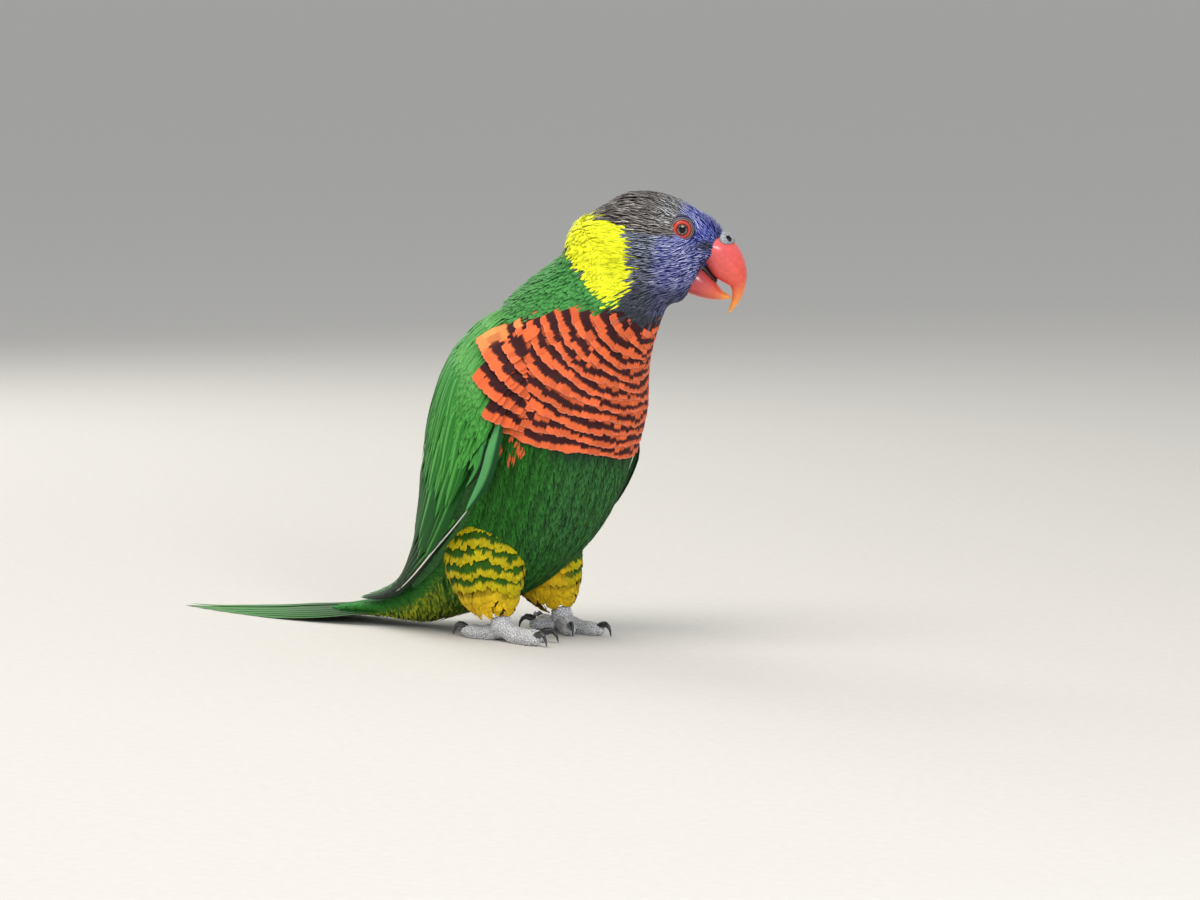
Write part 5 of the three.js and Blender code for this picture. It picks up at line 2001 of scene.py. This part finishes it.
# cere: waxy skin with grey specks, duller than the horn beside it
cere_skin = surface_material("waxy speckled cere", "cere", 0.5, 0.1, 1500.0, 0.5, 0.15)
cere = melted("cere_skin", copy_of("cere"), CERE_VOXEL, 4)
cere_points = points_of(cere)
specks = np.random.default_rng(55).random(len(cere_points)) < CERE_SPECKS
cere_colours = np.where(specks[:, None], linear("#4a5058"), linear("#a9adb2"))
# painted shadow: each nostril is a near-black disc standing for the shade inside its opening
for side in (-1, 1):
    from_nostril = np.linalg.norm(cere_points - head_point(26.2, side * 3.7, 7.9), axis=1)
    cere_colours[from_nostril < NOSTRIL_RADIUS] = linear("#0c0c0e")
colour_points(cere, "cere", cere_colours)
finish_piece(cere, cere_skin, ("cere",))

# %% [markdown]
# ## Eyes and lids
# The eye is a ball of which only the cornea shows: a black pupil, a thin pale ring, a dark ring and an
# orange-red iris. Round it lies a ring of bare skin with a bright rim. The rings are concentric about
# the gaze, so the distance from that line gives the colours.

# %% Eyes
IRIS = [
    # distance from the line of the gaze: colour
    (0, "#030303"),
    (1.2, "#030303"),
    (1.28, "#9c8c86"),
    (1.42, "#8e7d78"),
    (1.52, "#1e0a09"),
    (1.8, "#35100c"),
    (2.0, "#bb3d30"),
    (2.6, "#d6503f"),
    (2.9, "#96342a"),
    (3.02, "#1a1214"),
    (6, "#141012"),
]
# wet eye: almost a mirror, and its one sharp glint makes the bird look alive
eye_material = surface_material("wet eye", "iris", 0.06, 0.0, 2500.0, 0.25, 0.005)
eye_material.node_tree.nodes["Principled BSDF"].inputs["IOR"].default_value = 1.376
# lid skin: dry and finely wrinkled, so the wet eye stands out from it
lid_material = surface_material("bare lid skin", "lid", 0.5, 0.05, 2200.0, 0.4, 0.12)
LID_PROFILE = [
    # distance from the gaze line and distance out from the eye's middle
    (3.08, 3.66),
    (3.18, 3.84),
    (3.32, 3.84),
    (3.44, 3.62),
    (3.62, 3.46),
    (3.8, 3.5),
    (3.92, 3.48),
    (4.06, 3.2),
    (4.3, 2.7),
    (4.5, 2.1),
    (4.5, 1.4),
    (4.3, 1.4),
    (4.12, 2.1),
    (3.75, 2.85),
    (3.3, 3.4),
]
LID_COLOURS = [
    (3.05, "#4a2c28"),
    (3.17, "#b78d85"),
    (3.32, "#a58883"),
    (3.42, "#1f1c20"),
    (3.68, "#242329"),
    (3.8, "#77767c"),
    (3.92, "#66666d"),
    (4.05, "#22222c"),
    (5.5, "#1e1f34"),
]
for side_name, side in (("left", 1), ("right", -1)):
    middle, gaze = eye_middle(side), eye_gaze(side)
    ball = bmesh.new()
    bmesh.ops.create_icosphere(ball, subdivisions=5, radius=EYE_RADIUS * MM)
    bmesh.ops.translate(ball, verts=ball.verts, vec=Vector(to_scene(middle)))
    eye = new_object(f"eyeball_{side_name}", ball)
    shade_smooth(eye)
    from_gaze = np.linalg.norm(np.cross(points_of(eye) - middle, gaze), axis=1)
    colour_points(eye, "iris", blended(from_gaze, IRIS))
    finish_piece(eye, eye_material, (f"eye_{side_name}",))
    ring = bmesh.new()
    across = unit(np.cross(gaze, [0, 0, 1.0]))
    profile = [ring.verts.new(to_scene(middle + across * r + gaze * out)) for r, out in LID_PROFILE]
    edges = [ring.edges.new(pair) for pair in zip(profile, profile[1:] + profile[:1])]
    bmesh.ops.spin(
        ring,
        geom=profile + edges,
        cent=Vector(to_scene(middle)),
        axis=Vector(gaze),
        angle=2 * math.pi,
        steps=96,
        use_merge=True,
    )
    bmesh.ops.recalc_face_normals(ring, faces=ring.faces)
    lid = new_object(f"lid_{side_name}", ring)
    shade_smooth(lid)
    rounding = lid.modifiers.new("round", "SUBSURF")
    rounding.levels = rounding.render_levels = 1
    apply_modifiers(lid)
    from_gaze = np.linalg.norm(np.cross(points_of(lid) - middle, gaze), axis=1)
    colour_points(lid, "lid", blended(from_gaze, LID_COLOURS))
    finish_piece(lid, lid_material)

# %% [markdown]
# ## Feet and claws
# The toes are covered with small pebble-like scales of grey horn. Each scale is a cell round a seed
# point on the melted foot, raised in its middle and sunk along its border.

# %% Feet
SCALE_SIZE = 0.75  # mm between the middles of neighbouring scales
SCALE_HEIGHT = 0.28
BORDER_DEPTH = 0.2  # mm that the borders between scales lie under the foot's own surface
FOOT_VOXEL = 0.27
CLAW_VOXEL = 0.18


def scattered(points, gap, rng):
    """Some of these points, no two of them nearer than gap."""
    chosen, cells = [], {}
    for index in rng.permutation(len(points)):
        point = points[index]
        cell = tuple((point // gap).astype(int))
        beside = [
            cells.get((cell[0] + a, cell[1] + b, cell[2] + c))
            for a in (-1, 0, 1)
            for b in (-1, 0, 1)
            for c in (-1, 0, 1)
        ]
        if all(other is None or np.linalg.norm(other - point) > gap for other in beside):
            cells[cell] = point
            chosen.append(point)
    return chosen


# foot scales: dry, pale on their raised tops and darker towards the sunk borders between them as painted
# shade, which shows every scale
scale_skin = surface_material("grey foot scales", "scales", 0.6, 0.05, 900.0, 0.25, 0.08)
for side_name in ("left", "right"):
    foot = melted(f"foot_skin_{side_name}", copy_of(f"foot_{side_name}"), FOOT_VOXEL, 8)
    points, normals = points_of(foot), normals_of(foot)
    rng = np.random.default_rng(61)
    seeds = scattered(points, SCALE_SIZE, rng)
    tree = KDTree(len(seeds))
    for number, seed in enumerate(seeds):
        tree.insert(Vector(seed), number)
    tree.balance()
    border, shade = np.empty(len(points)), np.empty(len(points))
    tones = rng.random(len(seeds))
    for number, point in enumerate(points):
        (_, nearest, first), (_, _, second) = tree.find_n(Vector(point), 2)
        border[number], shade[number] = (second - first) / SCALE_SIZE, tones[nearest]
    raised = smoothstep(border, 0.02, 0.45)
    move_points(foot, points + normals * (SCALE_HEIGHT * raised - BORDER_DEPTH)[:, None])
    # painted shade: the grey darkens towards the sunk borders between the scales
    scale_tone_with_shade = blended(raised * (0.8 + 0.2 * shade), [(0, "#88878a"), (0.5, "#c6c7c9"), (1, "#e4e4e6")])
    colour_points(foot, "scales", scale_tone_with_shade)
    finish_piece(foot, scale_skin, (f"foot_{side_name}",))

# %% Claws
# claw horn: black and polished, with a thin bright line along its curve
claw_horn = surface_material("dark claw horn", "horn", 0.3, 0.3, 1200.0, 0.3, 0.05)
claw_nodes = sorted(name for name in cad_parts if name.startswith("claw"))
claws = melted("claws", copy_of(*claw_nodes), CLAW_VOXEL, 3)
one_colour(claws, "horn", "#2f2f34")
finish_piece(claws, claw_horn, claw_nodes)
